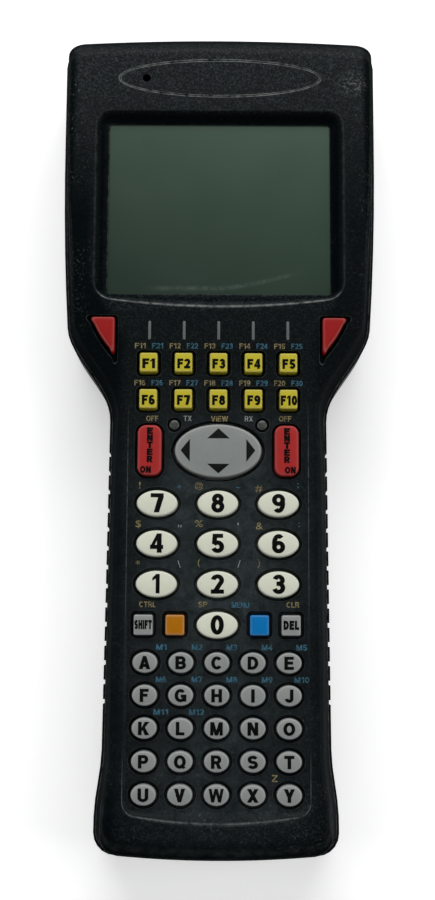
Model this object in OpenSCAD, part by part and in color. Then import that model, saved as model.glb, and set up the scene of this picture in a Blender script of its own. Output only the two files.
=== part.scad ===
// Portable barcode data terminal: a long hand-held unit with a wide display
// head, a narrow grip full of keys and a battery pack in its back.
// X runs to the right, Y towards the display end and Z out of the front face.
// The unit lies on its back at z = 0 with the centre of its length at y = 0.

/* [Casing] */
// Length from the tail to the display end
length = 268; // [250:1:330]
// Width across the display head
head_w = 104; // [98:1:126]
// Width across the narrowest part of the grip
grip_w = 70.8; // [70:0.2:84]
// Width across the flared tail
tail_w = 77.4; // [76:0.2:92]
// Depth from the back to the front face
depth = 38; // [38:0.5:50]
// Height of the joint between the two casing halves
split_z = 24; // [24:0.5:26]
// Depth that the grip is raised off the surface
grip_lift = 6; // [4:0.5:8]
// Length of the head from its end to the start of the shoulders
head_len = 98; // [96:1:104]
// Length of the curve from head to grip
shoulder_len = 31; // [20:1:40]
// Length of the flare at the tail
flare_len = 21; // [12:1:30]
// Corner radius of the display end
top_corner = 6; // [4:0.5:9]
// Corner radius of the tail
tail_corner = 7; // [4:0.5:9]
// How far the display end bows out at its middle
top_bow = 1.7; // [0:0.1:3]
// How far the tail bows out at its middle
tail_bow = 2.2; // [0:0.1:3]
// Thickness of the casing's side walls
wall = 3.4; // [2.8:0.1:4]
// Thickness of the front face
face_t = 2; // [1.6:0.1:2.4]
// Thickness of the back
back_t = 2.4; // [2:0.1:3]
// Height of the raised lip round the lower keys
lip_h = 0.7; // [0.3:0.1:1.2]

/* [Display] */
// Width of the display's visible window
view_w = 72.4; // [60:0.1:76]
// Height of the display's visible window
view_h = 57.4; // [50:0.1:60]
// Width of the bevelled frame round the window
bevel = 4; // [2:0.1:5]
// Depth of the window below the front face
view_depth = 3.5; // [2.4:0.1:4]
// Distance from the display end to the window's centre
view_in = 60.1; // [58:0.1:64]
// Thickness of the clear window
window_t = 1.5; // [1:0.1:2]
// Length of the oval name plate
badge_w = 65.6; // [50:0.1:72]
// Height of the oval name plate
badge_h = 12.2; // [8:0.1:14]
// Distance from the display end to the name plate's centre
badge_in = 16.7; // [14:0.1:18]

/* [Keys] */
// Height of the keys above the front face
key_rise = 1.8; // [1:0.1:2.5]
// How far a key goes down
key_travel = 1.2; // [0.6:0.1:1.2]
// Gap between a key and its hole
key_gap = 0.4; // [0.3:0.05:0.6]
// Width of the rim that holds a key in
key_rim = 1.1; // [0.8:0.1:1.2]
// Distance from the tail to the lowest row of letter keys
keys_in = 21.6; // [20:0.1:30]
// Spacing of the letter and function keys across the grip
fine_pitch = 11.12; // [10.8:0.02:11.4]
// Spacing of the letter rows
letter_rows = 9.95; // [9.6:0.05:10.4]
// Width of a letter key
letter_w = 8; // [7:0.1:8.4]
// Height of a letter key
letter_h = 6.7; // [6:0.1:7]
// Spacing of the number keys across the grip
number_pitch = 19; // [18:0.1:20]
// Spacing of the number rows
number_rows = 12.6; // [12.2:0.1:13]
// Width of a number key
number_w = 13.2; // [12:0.1:14]
// Height of a number key
number_h = 8.6; // [8:0.1:9]
// Distance from the top letter row to the zero row
zero_up = 11.6; // [11:0.1:12]
// Width of the small square keys
square_w = 6.3; // [5.5:0.1:6.6]
// Height of the small square keys
square_h = 6.7; // [5.5:0.1:7]
// Distance from the middle to the inner square keys
square_in = 13.1; // [12.8:0.1:13.4]
// Distance from the middle to the outer square keys
square_out = 22.9; // [22.4:0.1:23.4]
// Distance from the top number row to the rocker's middle
rocker_up = 16.7; // [16.4:0.1:18]
// Width of the arrow rocker
rocker_w = 27.8; // [24:0.1:28.4]
// Height of the arrow rocker
rocker_h = 17.6; // [15:0.1:18]
// How far the rocker tips each way, in degrees
rocker_tip = 3; // [1:0.5:3]
// Width of an enter key
enter_w = 7.6; // [6.5:0.1:8]
// Height of an enter key
enter_h = 16; // [13:0.1:16.4]
// Distance from the middle to an enter key
enter_x = 21.6; // [21.4:0.1:22.4]
// Distance from the rocker's middle to the lower function row
function_up = 16.4; // [16.2:0.1:18]
// Spacing of the two function rows
function_rows = 11.75; // [11.4:0.05:12.5]
// Width of a function key
function_w = 6; // [5:0.1:6.4]
// Height of a function key
function_h = 6.7; // [5.5:0.1:7]
// Width of a scan key
scan_w = 7.6; // [6:0.1:8]
// Height of a scan key
scan_h = 11.9; // [10:0.1:12]
// Distance from the middle to the straight side of a scan key
scan_x = 33.2; // [33:0.1:34.4]
// Distance from the display end to the top of a scan key
scan_in = 97.6; // [97:0.1:99]
// Radius of a status light
light_r = 1.7; // [1.2:0.1:1.8]
// Distance from the middle to a status light
light_x = 13.9; // [13.6:0.1:14.2]
// Distance from the rocker's middle up to a status light
light_up = 8.3; // [8.2:0.1:8.6]

/* [Boards] */
// Thickness of the circuit boards
board_t = 1.6; // [1:0.1:1.6]
// Distance from the front face down to the keypad board
keyboard_down = 6.2; // [6.2:0.1:6.6]
// Width of the keypad board
keyboard_w = 63.2; // [62:0.2:63.6]
// Thickness of the silicone key mat
mat_t = 1.3; // [1:0.1:1.4]
// Width of the main board
mainboard_w = 81; // [78:0.5:81]
// Height of the main board's underside
mainboard_z = 21.4; // [20.6:0.1:21.6]

/* [Battery] */
// Width of the battery pack
battery_w = 60; // [50:0.5:60]
// Length of the battery pack from its hinge to its latch
battery_len = 103; // [96:0.5:103]
// Height of the battery pack's top
battery_top = 19.6; // [18:0.1:19.8]
// Thickness of the battery pack's walls
battery_wall = 1.5; // [1.2:0.1:1.8]
// Distance from the tail to the battery's hinge
hinge_in = 25; // [24.8:0.1:30]
// Height of the battery's hinge above its back face
hinge_up = 4; // [4:0.1:5]
// Radius of the battery's hinge stubs
stub_r = 2; // [1.5:0.1:2.4]
// Width of the latch's finger pad
latch_w = 24; // [18:0.5:28]
// Length of the latch
latch_len = 12.5; // [11:0.1:13]
// How far the latch slides
latch_travel = 3; // [2:0.1:3]

/* [Scanner and fasteners] */
// Width of the scan window
scan_window_w = 42; // [34:0.5:50]
// Height of the scan window
scan_window_h = 13; // [10:0.5:14]
// Radius of the casing screws
screw_r = 1.5; // [1.2:0.1:1.6]
// Radius of the bosses that the screws run in
boss_r = 3.2; // [2.8:0.1:3.4]

/* [Hidden] */

eps = 0.01;
snug = 0.1;
running = 0.05;
slack = 0.3;
round_fn = 48;

black_case = [0.13, 0.14, 0.15];
grey_key = [0.62, 0.63, 0.61];
pale_key = [0.8, 0.8, 0.76];
red_key = [0.62, 0.13, 0.11];
yellow_key = [0.8, 0.73, 0.1];
steel = [0.7, 0.7, 0.72];
board_green = [0.1, 0.35, 0.2];

// Ends of the casing and the lines that follow from them.
top_y = length / 2;
tail_y = -length / 2;
shoulder_top = top_y - head_len;
shoulder_foot = shoulder_top - shoulder_len;
flare_top = tail_y + 13 + flare_len;
side_bulge = 2;
grip_swell = 1.3;

// Heights of the layers under the front face.
ceiling = depth - face_t;
keyboard_top = depth - keyboard_down;
keyboard_z = keyboard_top - board_t;
mat_top = keyboard_top + mat_t;
rim_top = ceiling - slack;
rim_bottom = mat_top + slack + key_travel;
plunger_r = 1.2;
plunger_bottom = keyboard_top + key_travel + 0.2;
key_top = depth + key_rise;

// Rows of keys.
letters_y = tail_y + keys_in;
zero_y = letters_y + 4 * letter_rows + zero_up;
seven_y = zero_y + 3 * number_rows;
rocker_y = seven_y + rocker_up;
function_y = rocker_y + function_up;
light_y = rocker_y + light_up;
keyboard_end = function_y + function_rows + 8.3;
keyboard_start = letters_y - 8.7;
scan_y = top_y - scan_in;

// The display and its window.
view_y = top_y - view_in;
ledge_z = depth - view_depth;
window_rim = 1.8;
gasket_t = 0.5;
window_top = ledge_z - gasket_t;
window_z = window_top - window_t;
frame_w = view_w + 9.6;
frame_h = view_h + 10.6;
frame_top = window_z - slack;
frame_t = 0.8;
panel_t = 4.3;
mainboard_top = mainboard_z + board_t;
mainboard_end = top_y - 18;
mainboard_start = scan_y - scan_h + 1.5;
stem_in = 2.4;
stem_down = 3.4;
switch_h = 1.4;

// The battery bay.
hinge_y = tail_y + hinge_in;
hinge_z = grip_lift + hinge_up;
battery_head = hinge_y + battery_len;
swing_gap = 0.8;
bay_head = battery_head + swing_gap;
bay_tail = hinge_y - hinge_up - 0.5;
bay_w = battery_w + 2 * (slack + snug);
bay_top = battery_top + swing_gap;
bay_floor = bay_top + 2;
lid_t = 1.4;
stub_out = 3;

// The latch and its T-shaped slot.
latch_wing = 3;
latch_pad_z = grip_lift + slack;
latch_wing_z = grip_lift + 1.2;
latch_top = grip_lift + 2.1;
slot_top = latch_top + slack;
slot_end = bay_head + latch_len + latch_travel + 0.9;
latch_nose = battery_head + slack;

// The screws.
boss_top_in = 11;
boss_low_in = 80;
boss_tail_in = 8.4;
boss_tail_side = 10.7;
boss_x = min(head_w / 2 - wall - 3.5, max(frame_w, mainboard_w) / 2 + boss_r + 0.8);
boss_places = [
    [boss_x, top_y - boss_top_in], [-boss_x, top_y - boss_top_in],
    [boss_x, top_y - boss_low_in], [-boss_x, top_y - boss_low_in],
    [tail_w / 2 - boss_tail_side, tail_y + boss_tail_in], [-tail_w / 2 + boss_tail_side, tail_y + boss_tail_in]
];
screw_head_r = 2.7;
screw_head_t = 1.8;
counterbore = 5;
screw_tip = depth - 5;

// Half the width of the casing at a place along its length.
function ease(t) = let(c = min(max(t, 0), 1)) c * c * (3 - 2 * c);
function grip_half(y) = grip_w / 2 + grip_swell * (shoulder_foot - y) / (shoulder_foot - tail_y);
function head_half(y) = head_w / 2 - side_bulge * pow(max(top_y - 39 - y, 0) / (head_len - 39), 2);
function flare_half(y) = (tail_w - grip_w - 2 * grip_swell) / 2 * ease((flare_top - y) / flare_len);
function half_width(y) =
    let(t = ease((y - shoulder_foot) / shoulder_len))
    t * head_half(y) + (1 - t) * (grip_half(y) + flare_half(y));
function top_edge(x) = top_y - top_bow * pow(x / (head_w / 2), 2);
function tail_edge(x) = tail_y + tail_bow * pow(x / (tail_w / 2), 2);

// Right-hand edge of the casing drawn in by a distance, from the tail to the display end.
function right_edge(in) =
    let(
        tx = half_width(tail_y + tail_corner) - tail_corner,
        ty = tail_edge(tx) + tail_corner,
        hx = half_width(top_y - top_corner) - top_corner,
        hy = top_edge(hx) - top_corner,
        tr = max(tail_corner - in, 0.5),
        hr = max(top_corner - in, 0.5),
        sides = concat(
            [for (i = [1 : 4]) ty + i * (flare_top - ty) / 5],
            [for (i = [0 : 5]) flare_top + i * (shoulder_foot - flare_top) / 5],
            [for (i = [1 : 13]) shoulder_foot + i * shoulder_len / 13],
            [for (i = [1 : 6]) shoulder_top + i * (hy - shoulder_top) / 7])
    )
    concat(
        [for (i = [0 : 3]) [i * tx / 4, tail_edge(i * tx / 4) + in]],
        [for (a = [-90 : 18 : 0]) [tx + tail_corner - in - tr + tr * cos(a), ty - tail_corner + in + tr + tr * sin(a)]],
        [for (y = sides) [half_width(y) - in, y]],
        [for (a = [0 : 18 : 90]) [hx + top_corner - in - hr + hr * cos(a), hy + top_corner - in - hr + hr * sin(a)]],
        [for (i = [3 : -1 : 0]) [i * hx / 4, top_edge(i * hx / 4) - in]]);
function outline(in) =
    let(right = right_edge(in), n = len(right))
    concat(right, [for (i = [n - 2 : -1 : 1]) [-right[i][0], right[i][1]]]);

// Outlines of the keys, each grown by a distance.
function oval(w, h, grow, n) =
    [for (i = [0 : n - 1]) [(w / 2 + grow) * cos(360 * i / n), (h / 2 + grow) * sin(360 * i / n)]];
function rounded(w, h, r, grow) =
    let(rr = r + grow)
    [for (q = [0 : 3], a = [0 : 30 : 90])
        let(sx = (q == 0 || q == 3) ? 1 : -1, sy = q < 2 ? 1 : -1)
        [sx * (w / 2 - r) + rr * cos(a + 90 * q), sy * (h / 2 - r) + rr * sin(a + 90 * q)]];
function scan_shape(grow) =
    let(
        inner = (scan_w + scan_h - norm([scan_w, scan_h])) / 2,
        k = (inner + grow) / inner,
        centre = [inner, -inner],
        bow = 0.6,
        edge = concat(
            [[0.5, 0], [scan_w - 0.6, 0], [scan_w, -0.5]],
            [for (t = [1 : 5])
                let(s = t / 6)
                [scan_w * (1 - s) + bow * sin(180 * s), -scan_h * s - bow * sin(180 * s) * scan_w / scan_h]],
            [[0.7, -scan_h + 0.2], [0, -scan_h + 0.8], [0, -0.5]])
    )
    [for (p = edge) centre + k * (p - centre)];

module prism(points, z0, z1) {
    translate([0, 0, z0]) linear_extrude(z1 - z0) polygon(points);
}

// A block with rounded upright edges that stands on z0.
module block(w, h, r, z0, z1) {
    prism(rounded(w, h, r, 0), z0, z1);
}

module rod(r, z0, z1) {
    translate([0, 0, z0]) cylinder(r = r, h = z1 - z0, $fn = round_fn);
}

module rod_x(r, x0, x1) {
    translate([x0, 0, 0]) rotate([0, 90, 0]) cylinder(r = r, h = x1 - x0, $fn = round_fn);
}

module rod_y(r, y0, y1) {
    translate([0, y0, 0]) rotate([-90, 0, 0]) cylinder(r = r, h = y1 - y0, $fn = round_fn);
}

// A side view in Y and Z swept across the casing.
module side_view(points, w) {
    rotate([90, 0, 90]) translate([0, 0, -w / 2]) linear_extrude(w) polygon(points);
}

module both_sides() {
    children();
    mirror([1, 0, 0]) children();
}

// ---- Places of the keys -------------------------------------------------

function fine_x(i) = (i - 2) * fine_pitch;
function function_place(i) = [fine_x(i % 5), function_y + (i < 5 ? function_rows : 0), 0];
function number_place(i) = [(i % 3 - 1) * number_pitch, seven_y - floor(i / 3) * number_rows, 0];
function letter_y(row) = letters_y + (4 - row) * letter_rows;

module scan_outline(grow) { polygon(scan_shape(grow)); }
module oval_outline(w, h, grow, n) { polygon(oval(w, h, grow, n)); }
module rounded_outline(w, h, r, grow) { polygon(rounded(w, h, r, grow)); }

letter_n = 20;
number_n = 28;
rocker_n = 40;
small_r = 0.6;
enter_r = 2.6;

module letter_outline(grow) { oval_outline(letter_w, letter_h, grow, letter_n); }
module number_outline(grow) { oval_outline(number_w, number_h, grow, number_n); }
module function_outline(grow) { rounded_outline(function_w, function_h, small_r, grow); }
module square_outline(grow) { rounded_outline(square_w, square_h, small_r, grow); }
module enter_outline(grow) { rounded_outline(enter_w, enter_h, enter_r, grow); }
module rocker_outline(grow) { oval_outline(rocker_w, rocker_h, grow, rocker_n); }

rocker_gap = 0.75;
rocker_rim = 1.8;
rocker_rim_t = 1;
rocker_rim_z = ceiling - (rocker_w / 2 + rocker_rim) * sin(rocker_tip) - 0.18 - rocker_rim_t;

// Every hole in the front face that a key comes through.
module key_holes() {
    for (i = [0 : 9]) translate(function_place(i)) function_outline(key_gap);
    for (i = [0 : 8]) translate(number_place(i)) number_outline(key_gap);
    translate([0, zero_y]) number_outline(key_gap);
    for (x = [-square_out, -square_in, square_in, square_out]) translate([x, zero_y]) square_outline(key_gap);
    for (row = [0 : 4], i = [0 : 4]) translate([fine_x(i), letter_y(row)]) letter_outline(key_gap);
    for (x = [-enter_x, enter_x]) translate([x, rocker_y]) enter_outline(key_gap);
    translate([0, rocker_y]) rocker_outline(rocker_gap);
    translate([scan_x, scan_y]) scan_outline(key_gap);
    translate([-scan_x, scan_y]) mirror([1, 0, 0]) scan_outline(key_gap);
}

// ---- Casing -------------------------------------------------------------

crown_t = 5;
crown_draft = [0.955, 0.984];

// Outer shape of the front half, drawn in towards the face.
module front_shell() {
    crown_z = depth - crown_t;
    prism(outline(0), split_z, crown_z + eps);
    translate([0, 0, crown_z]) linear_extrude(crown_t, scale = crown_draft) polygon(outline(0));
}

panel_w = 2 * (2 * fine_pitch + letter_w / 2 + 1.6);
panel_r = 4;

// The lip that stands up round the lower keys and fades out up the grip.
module key_lip() {
    difference() {
        intersection() {
            prism(outline(wall), depth - eps, depth + lip_h);
            side_view([
                [tail_y + wall, depth - eps], [shoulder_foot - 24, depth - eps], [letters_y + 12, depth + lip_h],
                [tail_y + 9, depth + lip_h]], head_w);
        }
        translate([0, letters_y - letter_h / 2 - 2.9 + length / 2, 0])
            block(panel_w, length, panel_r, depth - 1, depth + 2);
    }
}

// The bevelled walls that run down to the window.
module view_well() {
    opening_top = [(view_w + 2 * bevel) / view_w, (view_h + 2 * bevel - 1.4) / view_h];
    translate([0, view_y, ledge_z + 0.5])
        linear_extrude(depth - ledge_z - 0.5 + eps, scale = opening_top)
            polygon(rounded(view_w, view_h, 1.5, 0));
    translate([0, view_y, 0]) block(view_w, view_h, 1.5, ledge_z - 1, ledge_z + 1);
}

badge_y = top_y - badge_in;
badge_t = 1;
badge_n = 48;
vent_x = -24.1;
vent_r = 1.3;

module front_housing() {
    color(black_case) {
        difference() {
            union() {
                difference() {
                    front_shell();
                    prism(outline(wall), split_z - 1, ceiling);
                }
                translate([0, view_y, 0])
                    block(view_w + 2 * bevel + 4, view_h + 2 * bevel + 2, 2, ledge_z, ceiling + eps);
                front_bosses();
                mat_rib();
                key_lip();
            }
            view_well();
            translate([0, 0, ceiling - 2]) linear_extrude(depth + lip_h - ceiling + 3) key_holes();
            both_sides() translate([light_x, light_y, 0]) rod(light_r + running, ceiling - 1, depth + 1);
            translate([0, badge_y, 0]) prism(oval(badge_w, badge_h, snug, badge_n), depth - badge_t, depth + 1);
            translate([vent_x, badge_y, 0]) rod(vent_r, ceiling - 1, depth + 1);
            for (p = boss_places) translate([p[0], p[1], 0]) rod(screw_r + 0.03, split_z - 1, screw_tip + slack);
        }
    }
}

module front_bosses() {
    for (p = boss_places) translate([p[0], p[1], 0]) rod(boss_r, split_z + eps, ceiling + eps);
}

// The rib that presses the key mat down all round.
module mat_rib() {
    w = keyboard_w - 2;
    h = keyboard_end - keyboard_start - 2;
    translate([0, (keyboard_end + keyboard_start) / 2, 0])
        difference() {
            block(w, h, 1.5, mat_top, ceiling + eps);
            block(w - 2, h - 2, 1, mat_top - 1, ceiling + 1);
        }
}

rear_taper = 7;
rear_draft = [0.93, 0.974];
foot_y = bay_tail - 1;

// Side view of the back: a flat pad under the head, a raised grip and a foot at the tail.
module back_profile() {
    side_view([
        [tail_y - 1, 3], [tail_y + 4, 0], [foot_y - 4, 0], [foot_y, grip_lift], [shoulder_top + 2, grip_lift],
        [shoulder_top + 16, 0], [top_y - 7, 0], [top_y + 1, 6], [top_y + 1, split_z], [tail_y - 1, split_z]],
        head_w + 20);
}

module rear_shell() {
    intersection() {
        union() {
            translate([0, 0, rear_taper]) mirror([0, 0, 1])
                linear_extrude(rear_taper, scale = rear_draft) polygon(outline(0));
            prism(outline(0), rear_taper - eps, split_z);
        }
        back_profile();
    }
}

// The space for the electronics inside the back half.
module rear_cavity() {
    intersection() {
        union() {
            prism(outline(wall), rear_taper, split_z + 1);
            prism(outline(wall + 3), 1, rear_taper + eps);
        }
        side_view([
            [tail_y, back_t], [foot_y - 5, back_t], [foot_y - 1.4, grip_lift + back_t], [foot_y - 1.4, bay_floor],
            [bay_head + 2.4, bay_floor], [bay_head + 2.4, slot_top + back_t], [slot_end + 2.4, slot_top + back_t],
            [slot_end + 2.4, grip_lift + back_t + 1], [shoulder_top + 2, grip_lift + back_t + 1],
            [shoulder_top + 17, back_t], [top_y, back_t], [top_y, split_z + 2], [tail_y, split_z + 2]],
            head_w + 20);
    }
}

rib_count = 14;
rib_pitch = 6.1;
rib_w = 1.5;
rib_deep = 0.8;
rib_bottom = 8;
rib_start = rocker_y + 0.6;

// Short grooves down both sides of the grip for the fingers.
module grip_grooves() {
    for (i = [0 : rib_count - 1])
        both_sides()
            translate([half_width(rib_start - i * rib_pitch) - rib_deep, rib_start - i * rib_pitch - rib_w / 2, rib_bottom])
                cube([3, rib_w, split_z + 1 - rib_bottom]);
}

// A groove that runs round the joint, for the seal.
seal_w = 1;
seal_in = 1.2;
module joint_groove() {
    difference() {
        prism(outline(seal_in - snug), split_z - seal_w, split_z + 1);
        prism(outline(seal_in + seal_w + snug), split_z - seal_w - 1, split_z + 2);
    }
}

dock_w = 33;
dock_h = 7.6;
dock_z = 14;
scan_window_z = 12.5;

module rear_housing() {
    color(black_case) {
        difference() {
            union() {
                difference() {
                    rear_shell();
                    rear_cavity();
                }
                for (p = boss_places) translate([p[0], p[1], 0]) rod(boss_r + 0.8, 1, split_z - eps);
                board_posts();
            }
            battery_bay();
            latch_slot();
            grip_grooves();
            joint_groove();
            for (p = boss_places) translate([p[0], p[1], 0]) {
                rod(screw_head_r + snug, -1, counterbore);
                rod(screw_r + 0.2, 0, split_z + 1);
            }
            translate([0, top_y, scan_window_z]) rotate([90, 0, 0]) {
                block(scan_window_w - 5, scan_window_h - 4, 1, -1, wall + 2);
                block(scan_window_w + 2 * snug, scan_window_h + 2 * snug, 2, -1, 2.4);
            }
            translate([0, tail_y, dock_z]) rotate([90, 0, 0])
                block(dock_w + 2 * snug, dock_h + 2 * snug, 1, -wall - 2, 1);
            for (x = [-1 : 1]) translate([x * contact_pitch, contact_y, 0]) rod(contact_r + running, bay_top - 1, bay_floor + 1);
        }
    }
}

post_r = 2.2;
post_in = 6;

// Posts that carry the boards.
module board_posts() {
    both_sides() {
        for (y = [view_y - view_h / 4, mainboard_end - post_in])
            translate([mainboard_w / 2 - post_in, y, 0]) rod(post_r, back_t - 1, mainboard_z);
        for (y = [keyboard_start + 2 * post_in, (bay_head + keyboard_start) / 2, bay_head - post_in])
            translate([keyboard_w / 2 - post_in, y, 0]) rod(post_r, bay_floor - eps, keyboard_z);
    }
}

// The hollow that the battery pack lies in, with a bore each side for its stubs.
module battery_bay() {
    translate([-bay_w / 2, bay_tail, grip_lift - 3]) cube([bay_w, bay_head - bay_tail, bay_top - grip_lift + 3]);
    translate([0, hinge_y, hinge_z])
        rod_x(stub_r + running, -battery_w / 2 - stub_out - slack, battery_w / 2 + stub_out + slack);
}

// The slot is narrow at the surface and wide above, so that it holds the latch in.
module latch_slot() {
    y0 = bay_head - 1;
    half = latch_w / 2 + slack;
    translate([-half, y0, grip_lift - 2]) cube([2 * half, slot_end - y0, slot_top - grip_lift + 2]);
    translate([-half - latch_wing, y0, latch_wing_z - slack])
        cube([2 * (half + latch_wing), slot_end - y0, slot_top - latch_wing_z + slack]);
}

module housing_seal() {
    color("dimgray")
        difference() {
            prism(outline(seal_in), split_z - seal_w, split_z);
            prism(outline(seal_in + seal_w), split_z - seal_w - 1, split_z + 1);
        }
}

module case_screws() {
    color(steel)
        for (p = boss_places) translate([p[0], p[1], 0])
            difference() {
                union() {
                    rod(screw_head_r, counterbore - screw_head_t, counterbore);
                    rod(screw_r, counterbore - eps, screw_tip);
                }
                rod(1.2, counterbore - screw_head_t - 1, counterbore - 0.8);
            }
}

module dock_connector() {
    color([0.2, 0.2, 0.2])
        translate([0, tail_y, dock_z]) rotate([90, 0, 0]) difference() {
            union() {
                block(dock_w, dock_h, 1, -wall - 2.4, -tail_bow - 0.4);
                block(dock_w + 4, dock_h + 3, 1, -wall - 4.4, -wall - tail_bow - 0.2);
            }
            for (i = [-5 : 5]) translate([i * 2.6, 0, 0]) block(1.2, 4, 0.2, -tail_bow - 1, 1);
        }
}

// ---- Display ------------------------------------------------------------

module display_window() {
    color([0.3, 0.38, 0.33])
        translate([0, view_y, 0]) block(view_w + 2 * window_rim, view_h + 2 * window_rim, 2, window_z, window_top);
}

module window_gasket() {
    color([0.05, 0.05, 0.05])
        translate([0, view_y, 0]) difference() {
            block(view_w + 2 * window_rim, view_h + 2 * window_rim, 2, window_top, ledge_z);
            block(view_w + 0.6, view_h + 0.6, 1.6, window_top - 1, ledge_z + 1);
        }
}

module lcd_panel() {
    color([0.45, 0.52, 0.46])
        translate([0, view_y, 0])
            block(frame_w - 2 * frame_t - 0.6, frame_h - 2 * frame_t - 0.6, 1, frame_top - frame_t - panel_t,
                frame_top - frame_t);
}

module lcd_frame() {
    base = frame_top - frame_t - panel_t - 0.6;
    color(steel)
        translate([0, view_y, 0]) {
            difference() {
                block(frame_w, frame_h, 1.5, base, frame_top);
                block(frame_w - 2 * frame_t, frame_h - 2 * frame_t, 1, base - 1, frame_top - frame_t);
                block(view_w + 0.8, view_h + 0.8, 1, base, frame_top + 1);
            }
            for (sx = [-1, 1], sy = [-1, 1])
                translate([sx * (mainboard_w / 2 - 4) - 3, sy * (frame_h / 2 - frame_t / 2) - frame_t / 2, mainboard_top])
                    cube([6, frame_t, base - mainboard_top + 1]);
        }
}

module badge_plate() {
    color([0.19, 0.2, 0.21])
        difference() {
            translate([0, badge_y, 0]) prism(oval(badge_w, badge_h, 0, badge_n), depth - badge_t, depth);
            translate([vent_x, badge_y, 0]) rod(vent_r, ceiling, depth + 1);
        }
}

module status_lights() {
    color([0.55, 0.57, 0.56])
        both_sides() translate([light_x, light_y, 0]) {
            rod(light_r, keyboard_top + 0.2, depth + 0.1);
            rod(light_r + 0.5, ceiling - 1, ceiling);
        }
}

// ---- Boards -------------------------------------------------------------

module main_board() {
    color(board_green) {
        translate([0, (mainboard_end + mainboard_start) / 2, 0])
            block(mainboard_w, mainboard_end - mainboard_start, 3, mainboard_z, mainboard_top);
        both_sides() translate([scan_x + stem_in, scan_y - stem_down, 0]) block(5, 5, 0.5, mainboard_top - eps, mainboard_top + switch_h);
        translate([0, view_y, 0]) block(24, 24, 0.5, mainboard_top - eps, mainboard_top + 2.2);
        translate([26, view_y + 8, 0]) block(14, 10, 0.5, mainboard_top - eps, mainboard_top + 1.8);
    }
}

module radio_card() {
    color([0.15, 0.3, 0.45])
        translate([-18, view_y + 6, 0]) {
            block(36, 28, 1, mainboard_z - 4.4, mainboard_z - 3.2);
            translate([0, -9, 0]) block(26, 4, 0.5, mainboard_z - 3.2 - eps, mainboard_z);
            block(18, 12, 0.5, mainboard_z - 6, mainboard_z - 4.4 + eps);
        }
}

module beeper() {
    color([0.1, 0.1, 0.1])
        translate([0, scan_y - 4, 0]) difference() {
            rod(6, mainboard_top, mainboard_top + 4);
            rod(1, mainboard_top + 3, mainboard_top + 5);
        }
}

pivot_z = keyboard_top + 1.8;
pin_r = 0.8;
hub = 4.4;
ear_in = 4.2;
ear_t = 1.5;
ear_w = 2.8;

module keypad_board() {
    color(board_green) {
        translate([0, (keyboard_end + keyboard_start) / 2, 0])
            block(keyboard_w, keyboard_end - keyboard_start, 2, keyboard_z, keyboard_top);
        translate([0, rocker_y, 0]) both_sides() difference() {
            translate([ear_in, -ear_w / 2, keyboard_top - eps]) cube([ear_t, ear_w, 3.1]);
            translate([0, 0, pivot_z]) rod_x(pin_r + running, ear_in - 1, ear_in + ear_t + 1);
        }
    }
}

// A silicone sheet under the keys, with a hole for each plunger.
module keypad_mat() {
    w = keyboard_w - 1;
    h = keyboard_end - keyboard_start - 1;
    hole = plunger_r + 0.5;
    color([0.35, 0.36, 0.36])
        difference() {
            translate([0, (keyboard_end + keyboard_start) / 2, 0]) block(w, h, 1.5, keyboard_top, mat_top);
            translate([0, 0, keyboard_top - 1]) linear_extrude(mat_t + 2) {
                for (i = [0 : 9]) translate(function_place(i)) circle(hole, $fn = 24);
                for (i = [0 : 8]) translate(number_place(i)) circle(hole, $fn = 24);
                for (x = [-square_out, -square_in, 0, square_in, square_out]) translate([x, zero_y]) circle(hole, $fn = 24);
                for (row = [0 : 4], i = [0 : 4]) translate([fine_x(i), letter_y(row)]) circle(hole, $fn = 24);
                for (x = [-enter_x, enter_x]) translate([x, rocker_y]) circle(hole, $fn = 24);
                translate([0, rocker_y]) rocker_outline(rocker_rim + 0.5);
                for (x = [-light_x, light_x]) translate([x, light_y]) circle(light_r + 0.4, $fn = 24);
            }
        }
}

// ---- Keys ---------------------------------------------------------------

crown = 0.6;

// A key: the plunger, the rim that keeps it in and the cap with a stepped edge.
module key_body(lift = 0) {
    rod(plunger_r, plunger_bottom + lift, rim_bottom + eps);
    translate([0, 0, rim_bottom]) linear_extrude(rim_top - rim_bottom) children(0);
    translate([0, 0, rim_top - eps]) linear_extrude(key_top - crown - rim_top + eps) children(1);
    translate([0, 0, key_top - crown - eps]) linear_extrude(crown + eps) children(2);
}

module function_key(i) {
    color(yellow_key) translate(function_place(i)) key_body() {
        function_outline(key_rim);
        function_outline(0);
        function_outline(-0.5);
    }
}

module number_key(place) {
    color(pale_key) translate(place) key_body() {
        number_outline(key_rim);
        number_outline(0);
        number_outline(-0.6);
    }
}

module square_key(x, tint) {
    color(tint) translate([x, zero_y, 0]) key_body() {
        square_outline(key_rim);
        square_outline(0);
        square_outline(-0.5);
    }
}

module letter_row(row) {
    color(grey_key) for (i = [0 : 4]) translate([fine_x(i), letter_y(row), 0]) key_body() {
        letter_outline(key_rim);
        letter_outline(0);
        letter_outline(-0.5);
    }
}

module enter_key(x) {
    color(red_key) translate([x, rocker_y, 0]) key_body() {
        enter_outline(key_rim);
        enter_outline(0);
        enter_outline(-0.6);
    }
}

// The scan keys lie outside the keypad board, so a long stem reaches the main board.
module scan_key_right() {
    stem_bottom = mainboard_top + switch_h + key_travel + 0.2;
    color(red_key) translate([scan_x, scan_y, 0]) {
        translate([stem_in, -stem_down, 0]) rod(plunger_r, stem_bottom, rim_bottom + eps);
        translate([0, 0, rim_bottom]) linear_extrude(rim_top - rim_bottom) scan_outline(key_rim - 0.2);
        translate([0, 0, rim_top - eps]) linear_extrude(key_top - crown - rim_top + eps) scan_outline(0);
        translate([0, 0, key_top - crown - eps]) linear_extrude(crown + eps) scan_outline(-0.5);
    }
}

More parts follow.
